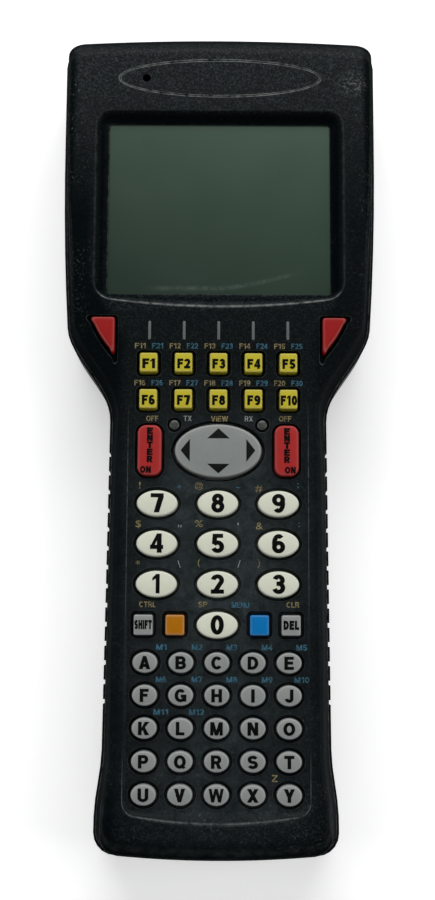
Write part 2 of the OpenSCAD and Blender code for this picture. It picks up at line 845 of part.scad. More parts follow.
// The rocker tips on a small cross: one pair of stubs in the board, one pair in the rocker.
module nav_pivot() {
    color(steel) translate([0, rocker_y, pivot_z]) {
        translate([-hub / 2, -hub / 2, -1.1]) cube([hub, hub, 2.2]);
        rod_x(pin_r, -ear_in - ear_t, ear_in + ear_t);
        rod_y(pin_r, -ear_in - ear_t, ear_in + ear_t);
    }
}

module nav_key() {
    pocket = 8;
    color(grey_key) translate([0, rocker_y, 0]) {
        difference() {
            union() {
                translate([0, 0, rocker_rim_z]) linear_extrude(rocker_rim_t) rocker_outline(rocker_rim);
                translate([0, 0, rocker_rim_z]) linear_extrude(key_top - crown - rocker_rim_z) rocker_outline(0);
                translate([0, 0, key_top - crown - eps]) linear_extrude(crown + eps) rocker_outline(-0.8);
            }
            rod(pocket, rocker_rim_z - 1, pivot_z + 2.6);
        }
        difference() {
            for (s = [-1, 1])
                translate([-ear_w / 2, s * (ear_in + ear_t / 2) - ear_t / 2, pivot_z - 1.1]) cube([ear_w, ear_t, 3.8]);
            translate([0, 0, pivot_z]) rod_y(pin_r + running, -ear_in - ear_t - 1, ear_in + ear_t + 1);
        }
    }
}

// ---- Scanner ------------------------------------------------------------

module scan_window() {
    color([0.25, 0.03, 0.05])
        translate([0, top_y, scan_window_z]) rotate([90, 0, 0]) block(scan_window_w, scan_window_h, 2, 0.6, 2.4);
}

module scan_engine() {
    engine_w = 38;
    engine_l = 20;
    color([0.3, 0.3, 0.32])
        translate([0, top_y - wall - 3.6 - engine_l / 2, 0]) difference() {
            block(engine_w, engine_l, 1, back_t, mainboard_z - 3);
            translate([0, engine_l / 2, scan_window_z]) rotate([90, 0, 0]) block(30, 7, 1, -1, 9);
        }
}

// ---- Battery ------------------------------------------------------------

// Side view of the battery pack: rounded about its hinge, bevelled where it passes the bay's end.
module battery_side() {
    polygon([
        [hinge_y, grip_lift], [battery_head, grip_lift], [battery_head, battery_top - 2.6],
        [battery_head - 2.6, battery_top], [hinge_y, battery_top]]);
}

module battery_case() {
    inner = battery_w - 2 * battery_wall;
    color(black_case) {
        difference() {
            union() {
                rotate([90, 0, 90]) translate([0, 0, -battery_w / 2]) linear_extrude(battery_w) battery_side();
                translate([0, hinge_y, hinge_z]) rod_x(hinge_up, -battery_w / 2, battery_w / 2);
            }
            translate([-inner / 2, hinge_y + 1.5, grip_lift + battery_wall])
                cube([inner, battery_len - 1.5 - 3.2, battery_top]);
        }
        translate([0, hinge_y, hinge_z]) both_sides() rod_x(stub_r, battery_w / 2 - 1, battery_w / 2 + stub_out);
    }
}

module battery_lid() {
    inner = battery_w - 2 * battery_wall - 2 * snug;
    color([0.2, 0.2, 0.22])
        translate([-inner / 2, hinge_y + 1.5 + snug, battery_top - lid_t])
            cube([inner, battery_len - 1.5 - 3.2 - 2 * snug, lid_t]);
}

module battery_cells() {
    inner = battery_w - 2 * battery_wall;
    cell_w = (inner - 3 * slack) / 2;
    cell_l = (battery_len - 4.7 - 3 * slack) / 2;
    color([0.15, 0.25, 0.5])
        for (sx = [-1, 1], i = [0, 1])
            translate([sx * (cell_w + slack) / 2, hinge_y + 1.5 + slack + cell_l / 2 + i * (cell_l + slack), 0])
                block(cell_w, cell_l, 2, grip_lift + battery_wall, battery_top - lid_t - slack);
}

contact_pitch = 8;
contact_t = 0.2;
contact_r = 0.9;
contact_y = battery_head - 9;

module battery_contacts() {
    color([0.85, 0.7, 0.3])
        for (x = [-1 : 1]) translate([x * contact_pitch, contact_y, 0]) block(4, 5, 0.5, battery_top, battery_top + contact_t);
}

module bay_contacts() {
    color([0.85, 0.7, 0.3])
        for (x = [-1 : 1]) translate([x * contact_pitch, contact_y, 0]) rod(contact_r, battery_top + contact_t + slack, bay_floor + 1);
}

module battery_latch() {
    body = latch_len - 1;
    color([0.2, 0.21, 0.22]) {
        difference() {
            translate([-latch_w / 2, bay_head + snug, latch_pad_z]) cube([latch_w, body, latch_top - latch_pad_z]);
            for (i = [0 : 3]) translate([-latch_w / 2 + 3, bay_head + 2.6 + 2 * i, latch_pad_z - 1]) cube([latch_w - 6, 1, 1.4]);
        }
        translate([-latch_w / 2 - latch_wing + slack, bay_head + snug, latch_wing_z])
            cube([latch_w + 2 * (latch_wing - slack), body, latch_top - latch_wing_z]);
        translate([-latch_w / 4, latch_nose, latch_wing_z]) cube([latch_w / 2, 2, latch_top - latch_wing_z]);
    }
}

// A bowed leaf between the latch and the end of its slot.
module latch_spring() {
    near = bay_head + latch_len - 0.9 + snug;
    far = slot_end - 0.1;
    half = 10;
    leaf = 0.3;
    bow = [for (i = [-6 : 6]) [half * i / 6, far - leaf - (far - near - leaf) * (1 - pow(i / 6, 2))]];
    back = [for (i = [6 : -1 : -6]) [half * i / 6, far - (far - near - leaf) * (1 - pow(i / 6, 2))]];
    color(steel) prism(concat(bow, back), latch_wing_z, latch_top);
}

// ---- Drawing ------------------------------------------------------------

front_housing();
rear_housing();
housing_seal();
display_window();
window_gasket();
lcd_panel();
lcd_frame();
main_board();
radio_card();
beeper();
keypad_board();
keypad_mat();
status_lights();
badge_plate();
scan_window();
scan_engine();
battery_case();
battery_lid();
battery_cells();
battery_contacts();
bay_contacts();
battery_latch();
latch_spring();
case_screws();
dock_connector();
nav_pivot();
nav_key();
mirror([1, 0, 0]) scan_key_right();  // key_scan_left
scan_key_right();  // key_scan_right
enter_key(-enter_x);  // key_enter_left
enter_key(enter_x);  // key_enter_right
function_key(0);  // key_f1
function_key(1);  // key_f2
function_key(2);  // key_f3
function_key(3);  // key_f4
function_key(4);  // key_f5
function_key(5);  // key_f6
function_key(6);  // key_f7
function_key(7);  // key_f8
function_key(8);  // key_f9
function_key(9);  // key_f10
number_key(number_place(0));  // key_7
number_key(number_place(1));  // key_8
number_key(number_place(2));  // key_9
number_key(number_place(3));  // key_4
number_key(number_place(4));  // key_5
number_key(number_place(5));  // key_6
number_key(number_place(6));  // key_1
number_key(number_place(7));  // key_2
number_key(number_place(8));  // key_3
number_key([0, zero_y, 0]);  // key_0
square_key(-square_out, grey_key);  // key_shift
square_key(-square_in, [0.85, 0.5, 0.05]);  // key_orange
square_key(square_in, [0.05, 0.42, 0.7]);  // key_blue
square_key(square_out, grey_key);  // key_delete
letter_row(0);  // keys_a_to_e
letter_row(1);  // keys_f_to_j
letter_row(2);  // keys_k_to_o
letter_row(3);  // keys_p_to_t
letter_row(4);  // keys_u_to_y
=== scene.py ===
import math

import bmesh
import bpy
from mathutils import Matrix, Vector
from mathutils.geometry import delaunay_2d_cdt


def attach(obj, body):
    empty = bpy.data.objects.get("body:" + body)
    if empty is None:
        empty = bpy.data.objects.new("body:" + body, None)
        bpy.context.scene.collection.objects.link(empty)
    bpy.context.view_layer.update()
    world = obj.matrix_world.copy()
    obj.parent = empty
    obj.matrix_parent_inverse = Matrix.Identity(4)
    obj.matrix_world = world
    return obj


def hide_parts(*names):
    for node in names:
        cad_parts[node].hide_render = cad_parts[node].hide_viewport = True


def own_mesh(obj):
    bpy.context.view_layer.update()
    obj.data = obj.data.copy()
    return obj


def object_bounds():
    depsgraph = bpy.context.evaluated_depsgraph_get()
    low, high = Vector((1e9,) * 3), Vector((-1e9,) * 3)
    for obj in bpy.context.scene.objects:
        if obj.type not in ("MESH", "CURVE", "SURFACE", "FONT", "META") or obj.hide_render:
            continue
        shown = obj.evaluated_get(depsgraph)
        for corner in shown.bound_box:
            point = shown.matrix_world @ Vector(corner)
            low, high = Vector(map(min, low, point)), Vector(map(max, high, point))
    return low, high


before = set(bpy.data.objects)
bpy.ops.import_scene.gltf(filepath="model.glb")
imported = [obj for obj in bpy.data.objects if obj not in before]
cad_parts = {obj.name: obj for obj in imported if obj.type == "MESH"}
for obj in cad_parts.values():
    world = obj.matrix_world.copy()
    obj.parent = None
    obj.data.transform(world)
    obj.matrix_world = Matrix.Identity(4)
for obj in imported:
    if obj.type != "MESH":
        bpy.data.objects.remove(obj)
cad_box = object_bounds()

# ---- The view -----------------------------------------------------------------
# A camera nearly square above the unit, 420 mm from its face and tipped 8 degrees
# towards the tail, turned by the third of a degree that the picture is turned.

eye = (-0.00019, -0.06465, 0.4539)
tipped, turned = math.radians(8), math.radians(0.3)
lens = bpy.data.cameras.new("view")
lens.sensor_fit = "VERTICAL"
lens.sensor_height = 24
lens.lens = 35.45
camera = bpy.data.objects.new("view", lens)
camera.matrix_world = (Matrix.Translation(eye) @ Matrix.Rotation(tipped, 4, "X")
                       @ Matrix.Rotation(turned, 4, "Z"))
bpy.context.scene.collection.objects.link(camera)
bpy.context.scene.camera = camera
bpy.context.scene.view_settings.view_transform = "Standard"

# ---- The studio ---------------------------------------------------------------
# A white paper table under one broad soft box at the top and three weak ones, at
# the foot and at both sides. The paper goes to plain white in the camera and keeps
# the soft shadow of the unit.


def colour(code):
    """An sRGB hex colour as the linear numbers that a shader takes."""
    parts = [int(code[i:i + 2], 16) / 255 for i in (1, 3, 5)]
    return (*[c / 12.92 if c <= 0.04045 else ((c + 0.055) / 1.055) ** 2.4 for c in parts], 1)


def add(tree, kind, inputs=None, **settings):
    """A node with its settings; an input is given a value or linked to another node's output."""
    node = tree.nodes.new(kind)
    for name, value in settings.items():
        setattr(node, name, value)
    for key, value in (inputs or {}).items():
        if isinstance(value, bpy.types.NodeSocket):
            tree.links.new(value, node.inputs[key])
        else:
            node.inputs[key].default_value = value
    return node


def new_material(name):
    """An empty material: its tree, its shader and the coordinates that its patterns read."""
    material = bpy.data.materials.new(name)
    material.use_nodes = True
    tree = material.node_tree
    tree.nodes.clear()
    shader = add(tree, "ShaderNodeBsdfPrincipled")
    add(tree, "ShaderNodeOutputMaterial", {"Surface": shader.outputs[0]})
    place = add(tree, "ShaderNodeTexCoord").outputs["Object"]
    return material, tree, shader, place


def per_mm(size):
    """Noise scale, in object coordinates of metres, that gives features of a size in mm."""
    return 1000 / size


def white_paper():
    """Matt white paper: even, with a faint tooth, brightened only for the camera and for reflections."""
    material, tree, shader, place = new_material("matt white paper")
    tooth = add(tree, "ShaderNodeTexNoise", {"Vector": place, "Scale": per_mm(4), "Detail": 3})
    tone = add(tree, "ShaderNodeMix", {0: tooth.outputs["Fac"], 6: colour("#f1f1f1"), 7: colour("#f6f6f6")},
               data_type="RGBA")
    tree.links.new(tone.outputs[2], shader.inputs["Base Color"])
    shader.inputs["Roughness"].default_value = 0.9
    shader.inputs["Specular IOR Level"].default_value = 0.2
    rays = add(tree, "ShaderNodeLightPath")
    seen = add(tree, "ShaderNodeMath", {0: rays.outputs["Is Camera Ray"], 1: rays.outputs["Is Glossy Ray"]},
               operation="MAXIMUM")
    through = add(tree, "ShaderNodeMath", {0: seen.outputs[0], 1: rays.outputs["Is Transmission Ray"]},
                  operation="MAXIMUM")
    glow = add(tree, "ShaderNodeMath", {0: through.outputs[0], 1: 0.4}, operation="MULTIPLY")
    shader.inputs["Emission Color"].default_value = (1, 1, 1, 1)
    tree.links.new(glow.outputs[0], shader.inputs["Emission Strength"])
    return material


def placed(name, bm):
    """An object made of a finished mesh."""
    mesh = bpy.data.meshes.new(name)
    bm.to_mesh(mesh)
    bm.free()
    made = bpy.data.objects.new(name, mesh)
    bpy.context.scene.collection.objects.link(made)
    return made


table = bmesh.new()
bmesh.ops.create_grid(table, x_segments=8, y_segments=8, size=1.6)
paper_table = placed("paper_table", table)
paper_table.data.materials.append(white_paper())

world = bpy.data.worlds.new("studio air")
bpy.context.scene.world = world
world.use_nodes = True
air = world.node_tree.nodes["Background"]
air.inputs["Color"].default_value = colour("#f4f6f8")
air.inputs["Strength"].default_value = 0.12


def soft_box(name, place, aim, width, height, watts):
    """A rectangular soft box at a place, turned to a point, with its sizes in metres."""
    lamp = bpy.data.lights.new(name, "AREA")
    lamp.shape = "RECTANGLE"
    lamp.size, lamp.size_y, lamp.energy = width, height, watts
    box = bpy.data.objects.new(name, lamp)
    box.matrix_world = (Matrix.Translation(place)
                        @ (Vector(aim) - Vector(place)).to_track_quat("-Z", "Y").to_matrix().to_4x4())
    bpy.context.scene.collection.objects.link(box)


soft_box("top_box", (0, 0.95, 0.85), (0, 0.02, 0), width=1.2, height=0.6, watts=13.3)
soft_box("foot_box", (0, -0.95, 0.75), (0, -0.05, 0), width=0.9, height=0.4, watts=0.6)
soft_box("left_box", (-0.95, -0.05, 0.8), (0, 0, 0), width=0.5, height=0.9, watts=2.9)
soft_box("right_box", (0.95, -0.05, 0.8), (0, 0, 0), width=0.5, height=0.9, watts=4.3)

# ---- Front casing half ----------------------------------------------------------
# One moulding in black ABS with a spark-eroded grain: drafted side walls, a soft
# edge to the face, a hole for each key, and a lip round the lower keys. Hands and
# benches have polished the grip and scuffed the corners. Painted highlights mark the
# lip's crest and some edges, and painted shade darkens the margins and the tail end.

MM = 0.001
face_z, joint_z, ceiling_z = 38.0, 24.0, 36.0
half_length = round(cad_box[1][1] / MM, 1)
top_y, tail_y = half_length, -half_length
head_half, grip_half, tail_half = 52.0, 35.4, 38.7
neck_y, shoulder_y, flare_y = 5.0, 36.0, -100.0


def ease(t):
    """A smooth step from 0 to 1, held outside it."""
    t = min(max(t, 0), 1)
    return t * t * (3 - 2 * t)


def half_width(y):
    """Half the casing's width at a place along it, from the tail to the display end."""
    in_head = ease((y - neck_y) / (shoulder_y - neck_y))
    head = head_half - 2.0 * (max(95 - y, 0) / (95 - shoulder_y)) ** 2
    grip = grip_half + 1.3 * (neck_y - y) / (neck_y - tail_y)
    flare = 2.0 * ease((flare_y - y) / 21)
    return in_head * head + (1 - in_head) * (grip + flare)


def top_edge(x):
    """The bowed display end."""
    return top_y - 1.7 * (x / head_half) ** 2


def tail_edge(x):
    """The bowed tail end."""
    return tail_y + 2.2 * (x / tail_half) ** 2


def casing_loop(side_in, tail_in, top_in, tail_r, top_r):
    """A line round the casing, drawn in at the sides, tail and top: (x, y, how much it belongs to an end)."""
    side = side_in if callable(side_in) else (lambda y: side_in)
    tail_steps, top_steps, side_steps, corner_steps = 10, 14, 150, 8
    tail_corner_y, top_corner_y = tail_y + 7, top_y - 6
    tail_x = half_width(tail_corner_y) - side(tail_corner_y) - tail_r
    tail_c = tail_edge(tail_x) + tail_in + tail_r
    top_x = half_width(top_corner_y) - side(top_corner_y) - top_r
    top_c = top_edge(top_x) - top_in - top_r
    right = [(tail_x * i / tail_steps, tail_edge(tail_x * i / tail_steps) + tail_in, 1)
             for i in range(tail_steps)]
    for i in range(corner_steps + 1):
        a = math.radians(-90 + 90 * i / corner_steps)
        right.append((tail_x + tail_r * math.cos(a), tail_c + tail_r * math.sin(a), math.sin(a) ** 2))
    for i in range(1, side_steps):
        y = tail_c + (top_c - tail_c) * i / side_steps
        right.append((half_width(y) - side(y), y, 0))
    for i in range(corner_steps + 1):
        a = math.radians(90 * i / corner_steps)
        right.append((top_x + top_r * math.cos(a), top_c + top_r * math.sin(a), math.sin(a) ** 2))
    for i in range(top_steps - 1, -1, -1):
        right.append((top_x * i / top_steps, top_edge(top_x * i / top_steps) - top_in, 1))
    return right + [(-x, y, w) for x, y, w in right[-2:0:-1]]


def ring(bm, points):
    """Vertices of one closed line, given in mm."""
    return [bm.verts.new((x * MM, y * MM, z * MM)) for x, y, z in points]


def bridge(bm, low, high):
    """Faces between two rings that run anticlockwise seen from above, the first one lower or further out."""
    n = len(low)
    for i in range(n):
        bm.faces.new((low[i], low[(i + 1) % n], high[(i + 1) % n], high[i]))


def lofted(bm, loops):
    """Rings through loops of points in mm, each joined to the next."""
    made = [ring(bm, loop) for loop in loops]
    for low, high in zip(made, made[1:]):
        bridge(bm, low, high)
    return made


def profile(shape, steps, x=0, y=0):
    """The loops of an outline about (x, y): one for each amount that it is grown by, with its height."""
    return [[(px + x, py + y, z) for px, py in shape(grow)] for grow, z in steps]


def cap(bm, points, up=True):
    """Closes a ring with a fan about its middle."""
    middle = bm.verts.new(sum((v.co for v in points), Vector()) / len(points))
    n = len(points)
    for i in range(n):
        a, b = points[i], points[(i + 1) % n]
        bm.faces.new((a, b, middle) if up else (b, a, middle))


def turn_of(a, b, c):
    """Twice the area of a triangle, positive when it runs anticlockwise."""
    return (b[0] - a[0]) * (c[1] - a[1]) - (b[1] - a[1]) * (c[0] - a[0])


def inside(x, y, polygon):
    """Whether a point lies in a closed outline."""
    hit = False
    for (x0, y0), (x1, y1) in zip(polygon, polygon[1:] + polygon[:1]):
        if (y0 > y) != (y1 > y) and x < (x1 - x0) * (y - y0) / (y1 - y0) + x0:
            hit = not hit
    return hit


def fill(bm, outer, holes, lines=(), up=True):
    """Fills the flat between an outer ring and its holes, with edges along the given lines of vertices."""
    verts, edges = [], []
    for loop in [outer, *holes]:
        edges += [(len(verts) + i, len(verts) + (i + 1) % len(loop)) for i in range(len(loop))]
        verts += loop
    for line in lines:
        edges += [(len(verts) + i, len(verts) + i + 1) for i in range(len(line) - 1)]
        verts += line
    flat = [Vector((v.co.x / MM, v.co.y / MM)) for v in verts]
    found = delaunay_2d_cdt(flat, edges, [], 0, 1e-6)
    outline = [(v.co.x / MM, v.co.y / MM) for v in outer]
    voids = []
    for hole in holes:
        shape = [(v.co.x / MM, v.co.y / MM) for v in hole]
        xs, ys = [p[0] for p in shape], [p[1] for p in shape]
        voids.append((min(xs), max(xs), min(ys), max(ys), shape))
    known = [verts[origin[0]] if origin else None for origin in found[3]]
    for tri in found[2]:
        corners = [known[i] for i in tri]
        if None in corners:
            continue
        x = sum(v.co.x for v in corners) / 3 / MM
        y = sum(v.co.y for v in corners) / 3 / MM
        if any(x0 < x < x1 and y0 < y < y1 and inside(x, y, s) for x0, x1, y0, y1, s in voids):
            continue
        if inside(x, y, outline):
            a, b, c = (v.co for v in corners)
            bm.faces.new(corners if (turn_of(a, b, c) > 0) == up else corners[::-1])


def smooth(bm, sharp=35):
    """Smooth shading but for edges sharper than an angle in degrees."""
    for face in bm.faces:
        face.smooth = True
    for edge in bm.edges:
        edge.smooth = edge.is_manifold and edge.calc_face_angle(0) < math.radians(sharp)


def even_shading(made):
    """Keeps flats flat beside soft edges."""
    made.modifiers.new("even shading", "WEIGHTED_NORMAL").keep_sharp = True


def piece(name, bm, material, body, sharp=35):
    """A finished mesh as an object that rides on a body."""
    smooth(bm, sharp)
    made = placed(name, bm)
    made.data.materials.append(material)
    even_shading(made)
    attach(made, body)
    return made


def oval(w, h, grow, n=48):
    """An ellipse of a width and a height, grown by a distance."""
    return [((w / 2 + grow) * math.cos(2 * math.pi * i / n), (h / 2 + grow) * math.sin(2 * math.pi * i / n))
            for i in range(n)]


def round_corners(w, h, r, k):
    """The corners of a rectangle as arcs of k points each, anticlockwise from the upper right one."""
    corners = []
    for quarter, (sx, sy) in enumerate(((1, 1), (-1, 1), (-1, -1), (1, -1))):
        angles = [math.radians(90 * quarter + 90 * i / (k - 1)) for i in range(k)]
        corners.append([(sx * (w / 2 - r) + r * math.cos(a), sy * (h / 2 - r) + r * math.sin(a))
                        for a in angles])
    return corners


def rounded(w, h, r, grow, k=6):
    """A rectangle with round corners, grown by a distance."""
    corners = round_corners(w + 2 * grow, h + 2 * grow, max(r + grow, 0.05), k)
    return [point for corner in corners for point in corner]


def scan_shape(grow, mirrored):
    """The three-sided scan key about its square corner, with soft corners and a bowed long side."""
    w, h, bow = 7.6, 11.9, 0.6
    inner = (w + h - math.hypot(w, h)) / 2
    k = (inner + grow) / inner
    edge = [(0.8, 0), (w / 2, 0), (w - 0.9, 0), (w - 0.35, -0.15), (w - 0.1, -0.55), (w - 0.15, -1.0)]
    for i in range(1, 10):
        s = 0.07 + 0.86 * i / 10
        out = bow * math.sin(math.pi * s)
        edge.append((w * (1 - s) + out, -h * s - out * w / h))
    edge += [(0.95, -h + 0.35), (0.5, -h + 0.25), (0.15, -h + 0.6), (0, -h + 1.2), (0, -h / 2), (0, -0.8)]
    edge += [(0.1, -0.35), (0.35, -0.1)]
    edge = [(inner + k * (x - inner), -inner + k * (y + inner)) for x, y in edge][::-1]
    return [(-x, y) for x, y in edge][::-1] if mirrored else edge


def at(shape, x, y):
    """An outline moved to a place."""
    return [(px + x, py + y) for px, py in shape]


# The rows and columns that the keys stand in, from the display end to the tail.
scan_x, scan_y = 33.2, 36.4
fine_pitch, letter_pitch = 11.12, 9.95
number_column, number_pitch = 19.0, 12.6
rocker_y, enter_x = -6.5, 21.6
seven_y = -23.2
zero_y = seven_y - 3 * number_pitch
fine_x = [(i - 2) * fine_pitch for i in range(5)]
letter_y = [-72.6 - letter_pitch * row for row in range(5)]
function_places = {f"f{i + 1}": (fine_x[i % 5], 21.65 if i < 5 else 9.9) for i in range(10)}
number_places = {digit: ((i % 3 - 1) * number_column, seven_y - i // 3 * number_pitch)
                 for i, digit in enumerate("789456123")}
number_places["0"] = (0, zero_y)
square_places = {"shift": -22.9, "orange": -13.1, "blue": 13.1, "delete": 22.9}
light_x, light_y = 13.9, 1.8
badge_y, vent_x = 117.3, -24.1


def key_openings():
    """The shape of each key's hole, for a distance that it is grown by."""
    found = []
    for x, y in function_places.values():
        found.append(lambda g, x=x, y=y: at(rounded(6, 6.7, 0.6, g), x, y))
    for x, y in number_places.values():
        found.append(lambda g, x=x, y=y: at(oval(13.2, 8.6, g), x, y))
    for x in square_places.values():
        found.append(lambda g, x=x: at(rounded(6.3, 6.7, 0.6, g), x, zero_y))
    for y in letter_y:
        for x in fine_x:
            found.append(lambda g, x=x, y=y: at(oval(8, 6.7, g, 40), x, y))
    for x in (-enter_x, enter_x):
        found.append(lambda g, x=x: at(rounded(7.6, 16, 2.6, g), x, rocker_y))
    # The rocker tips, so its hole keeps clear of it all the way down.
    found.append(lambda g: at(oval(27.8, 17.6, max(g, 0.4) + 0.08, 72), 0, rocker_y))
    for x in (-scan_x, scan_x):
        found.append(lambda g, x=x: at(scan_shape(g, x < 0), x, scan_y))
    for x in (-light_x, light_x):
        found.append(lambda g, x=x: at(oval(3.4, 3.4, max(g - 0.3, 0.05), 28), x, light_y))
    return found


lip_height, lip_start_y, lip_full_y = 0.7, -19, -99


def lip(y):
    """How far the lip stands up, which fades out up the grip."""
    return lip_height * ease((lip_start_y - y) / (lip_start_y - lip_full_y))


def soft_edge(t, wall, corner, land):
    """A point of the rounded edge between a wall and the face: distance in, height."""
    (x0, z0), (x1, z1), (x2, z2) = wall, corner, land
    a, b, c = (1 - t) ** 2, 2 * t * (1 - t), t * t
    return a * x0 + b * x1 + c * x2, a * z0 + b * z1 + c * z2


def face_corner_in(y):
    """Where the side wall would meet the face: the draft grows down the head to the neck."""
    if y > 46:
        return 2.1 + 1.25 * ease((110 - y) / 64)
    if y > 20:
        return 3.35 + 0.45 * ease((46 - y) / 26)
    return 3.0 + 0.8 * ease((y + 12) / 32) + 0.3 * ease((-95 - y) / 25)


def edge_wear_and_highlight(layer, verts, amount):
    """How pale an edge is drawn: real scuffs in places, painted highlights along others."""
    for v in verts:
        v[layer] = amount


front = bmesh.new()
wear_and_highlight = front.verts.layers.float.new("wear_and_highlight")

# Outer wall, from a small ledge at the joint up and over the soft edge. The ends lean in
# further than the sides, and start to round lower.
foot_in, ledge_in, ledge_up = 0.55, 0.35, 0.45
side_round_z, end_round_z = 36.2, 33.0
tail_draft, top_draft = 0.75, 1.0
tail_corner_in, top_corner_in, end_land_in, side_land = 2.6, 3.6, 8.2, 1.7
wall_rises = (0, 0, 0.03, 0.92, 1)
round_steps = 9
rings = []
for step in range(len(wall_rises) + round_steps):
    on_wall = step < len(wall_rises)
    rise = wall_rises[step] if on_wall else 1
    t = 0 if on_wall else (step - len(wall_rises) + 1) / round_steps
    low_in = foot_in + (ledge_in if step else 0)
    low_z = joint_z + (ledge_up if step else 0)

    def side(y, t=t, rise=rise, low_in=low_in):
        corner = face_corner_in(y)
        wall_top = foot_in + (corner - foot_in) * (side_round_z - joint_z) / (face_z - joint_z)
        if rise < 1:
            return low_in + (wall_top - low_in) * rise
        return soft_edge(t, (wall_top, side_round_z), (corner, face_z), (corner + side_land, face_z))[0]

    if rise < 1:
        side_z = low_z + (side_round_z - low_z) * rise
        tail_h = top_h = low_z + (end_round_z - low_z) * rise
        tail_in = low_in + (foot_in + tail_draft - low_in) * rise
        top_in = low_in + (foot_in + top_draft - low_in) * rise
    else:
        side_z = soft_edge(t, (0, side_round_z), (0, face_z), (0, face_z))[1]
        tail_in, tail_h = soft_edge(t, (foot_in + tail_draft, end_round_z), (tail_corner_in, face_z + 0.2),
                                    (end_land_in, face_z))
        top_in, top_h = soft_edge(t, (foot_in + top_draft, end_round_z), (top_corner_in, face_z),
                                  (end_land_in, face_z))
    tail_r = 6.8 - 0.3 * rise - 1.6 * t
    top_r = 6.0 + 0.2 * rise - 0.8 * t
    loop = casing_loop(side, tail_in, top_in, tail_r, top_r)
    lift = 0 if rise < 1 else t * t
    rings.append(ring(front, [(x, y, side_z * (1 - w) + (tail_h if y < 0 else top_h) * w + lip(y) * lift)
                              for x, y, w in loop]))
for low, high in zip(rings, rings[1:]):
    bridge(front, low, high)
# The ledge at the joint is drawn pale all round: a painted highlight.
edge_wear_and_highlight(wear_and_highlight, rings[0] + rings[1], 1.1)
for i, amount in ((4, 0.6), (5, 0.4), (6, 0.1), (8, 0.1), (9, 0.15), (10, 0.1)):
    for v in rings[i]:
        # A hand covers the grip's sides, so their edges are hardly scuffed. The top edge wears at its
        # corners.
        x, y = abs(v.co.x / MM), v.co.y / MM
        held = 0.95 * ease((60 - y) / 20) * ease((y + 122) / 14)
        v[wear_and_highlight] = amount * (1 - held) * (1 - 0.6 * ease((y - 122) / 5) * ease((46 - x) / 6))

# Joint face and the hollow inside.
wall_in, ceiling_in = 3.4, 4.6
inner_low = ring(front, [(x, y, joint_z) for x, y, w in casing_loop(wall_in, wall_in, wall_in, 3.6, 2.6)])
inner_high = ring(front, [(x, y, ceiling_z)
                          for x, y, w in casing_loop(ceiling_in, ceiling_in, ceiling_in, 2.6, 1.8)])
bridge(front, inner_low, rings[0])
bridge(front, inner_high, inner_low)

# Holes for the keys and lights: a small rounded edge, a short wall, and a ledge that closes in on the key.
hole_steps = ((1.1, face_z), (0.96, 37.95), (0.9, 37.8), (0.88, 37.0), (0.1, 36.8), (0.1, ceiling_z))
holes, ceiling_holes = [], []
for shape in key_openings():
    edge = lofted(front, profile(shape, hole_steps))
    edge_wear_and_highlight(wear_and_highlight, edge[1], 0.5)
    holes.append(edge[0])
    ceiling_holes.append(edge[-1])


def plate_shape(grow):
    """The name plate's outline."""
    return oval(65.6, 12.2, grow, 120)


def vent_shape(grow):
    """The beeper's round vent at the plate's left end."""
    return oval(2.6, 2.6, grow, 24)


# Pocket for the name plate, with the vent through it.
pocket_z = 37.0
pocket_steps = ((0.7, face_z), (0.4, 37.97), (0.22, 37.9), (0.16, 37.75), (0.15, pocket_z))
pocket = lofted(front, profile(plate_shape, pocket_steps, 0, badge_y))
# The pocket's edges are drawn pale: a painted highlight along the groove round the plate.
edge_wear_and_highlight(wear_and_highlight, pocket[1], 1.3)
edge_wear_and_highlight(wear_and_highlight, pocket[2], 1.6)
holes.append(pocket[0])
vent_top, vent_low = lofted(front, profile(vent_shape, ((0, pocket_z), (0, ceiling_z)), vent_x, badge_y))
fill(front, pocket[-1], [vent_top])
ceiling_holes.append(vent_low)

# The display well slopes down to the window all round.
well_w, well_h, well_y, well_r = 80.6, 62.9, 74.9, 5.2
view_w, view_h, view_y, view_r = 72.4, 57.4, 73.9, 0.8


def well_loop(t):
    """A line round the display well, from its soft outer edge (0) to the window (1)."""
    w, h = well_w + (view_w - well_w) * t, well_h + (view_h - well_h) * t
    middle = well_y + (view_y - well_y) * t
    corners = round_corners(w, h, well_r + (view_r - well_r) * t, 8)
    points = []
    for quarter, corner in enumerate(corners):
        (ax, ay), (bx, by) = corner[-1], corners[(quarter + 1) % 4][0]
        n = 24 if quarter % 2 == 0 else 16
        points += corner + [(ax + (bx - ax) * i / n, ay + (by - ay) * i / n) for i in range(1, n)]
    bow = 3.0 * (1 - t)
    return [(x, y + middle - bow * (1 - (x / (w / 2)) ** 2) * ease(-y / (h / 2) * 2 - 1)) for x, y in points]


ledge_z = 34.2
well_steps = ((-0.16, face_z), (-0.08, 37.985), (-0.02, 37.93), (0.04, 37.8), (0.12, 37.5), (0.5, 36.1),
              (0.9, 34.75), (1, 34.5), (1, ledge_z))
well = lofted(front, profile(well_loop, well_steps))
for i, amount in ((1, 0.7), (2, 1.8), (3, 1.2), (4, 0.2), (6, 0.1), (7, 1.2)):
    for v in well[i]:
        # The well's edge is drawn pale at its foot, and the window's edge on the left as well: painted
        # highlights.
        low = ease((46.5 - v.co.y / MM) / 3)
        left = ease((-34 - v.co.x / MM) / 3) if i > 5 else 0
        v[wear_and_highlight] = amount * max(low, 0.7 * left, 0.12)
holes.append(well[0])
under, under_high = lofted(front, profile(well_loop, ((0.3, ledge_z), (0.3, ceiling_z))))
bridge(front, well[-1], under)
ceiling_holes.append(under_high)

# The lip round the lower keys: its slope starts beside the keys and ends at a crest whose pale line is a
# painted highlight.
lip_x, lip_run = 27.75, 1.05
lip_slope = ((0, 0), (0.3, 0.12), (0.6, 0.55), (0.86, 0.93), (1, 1))
lip_back = ((1.1, 0.97), (1.25, 0.96))
lip_crest_highlight = {1: 1.1, 1.1: 0.33}


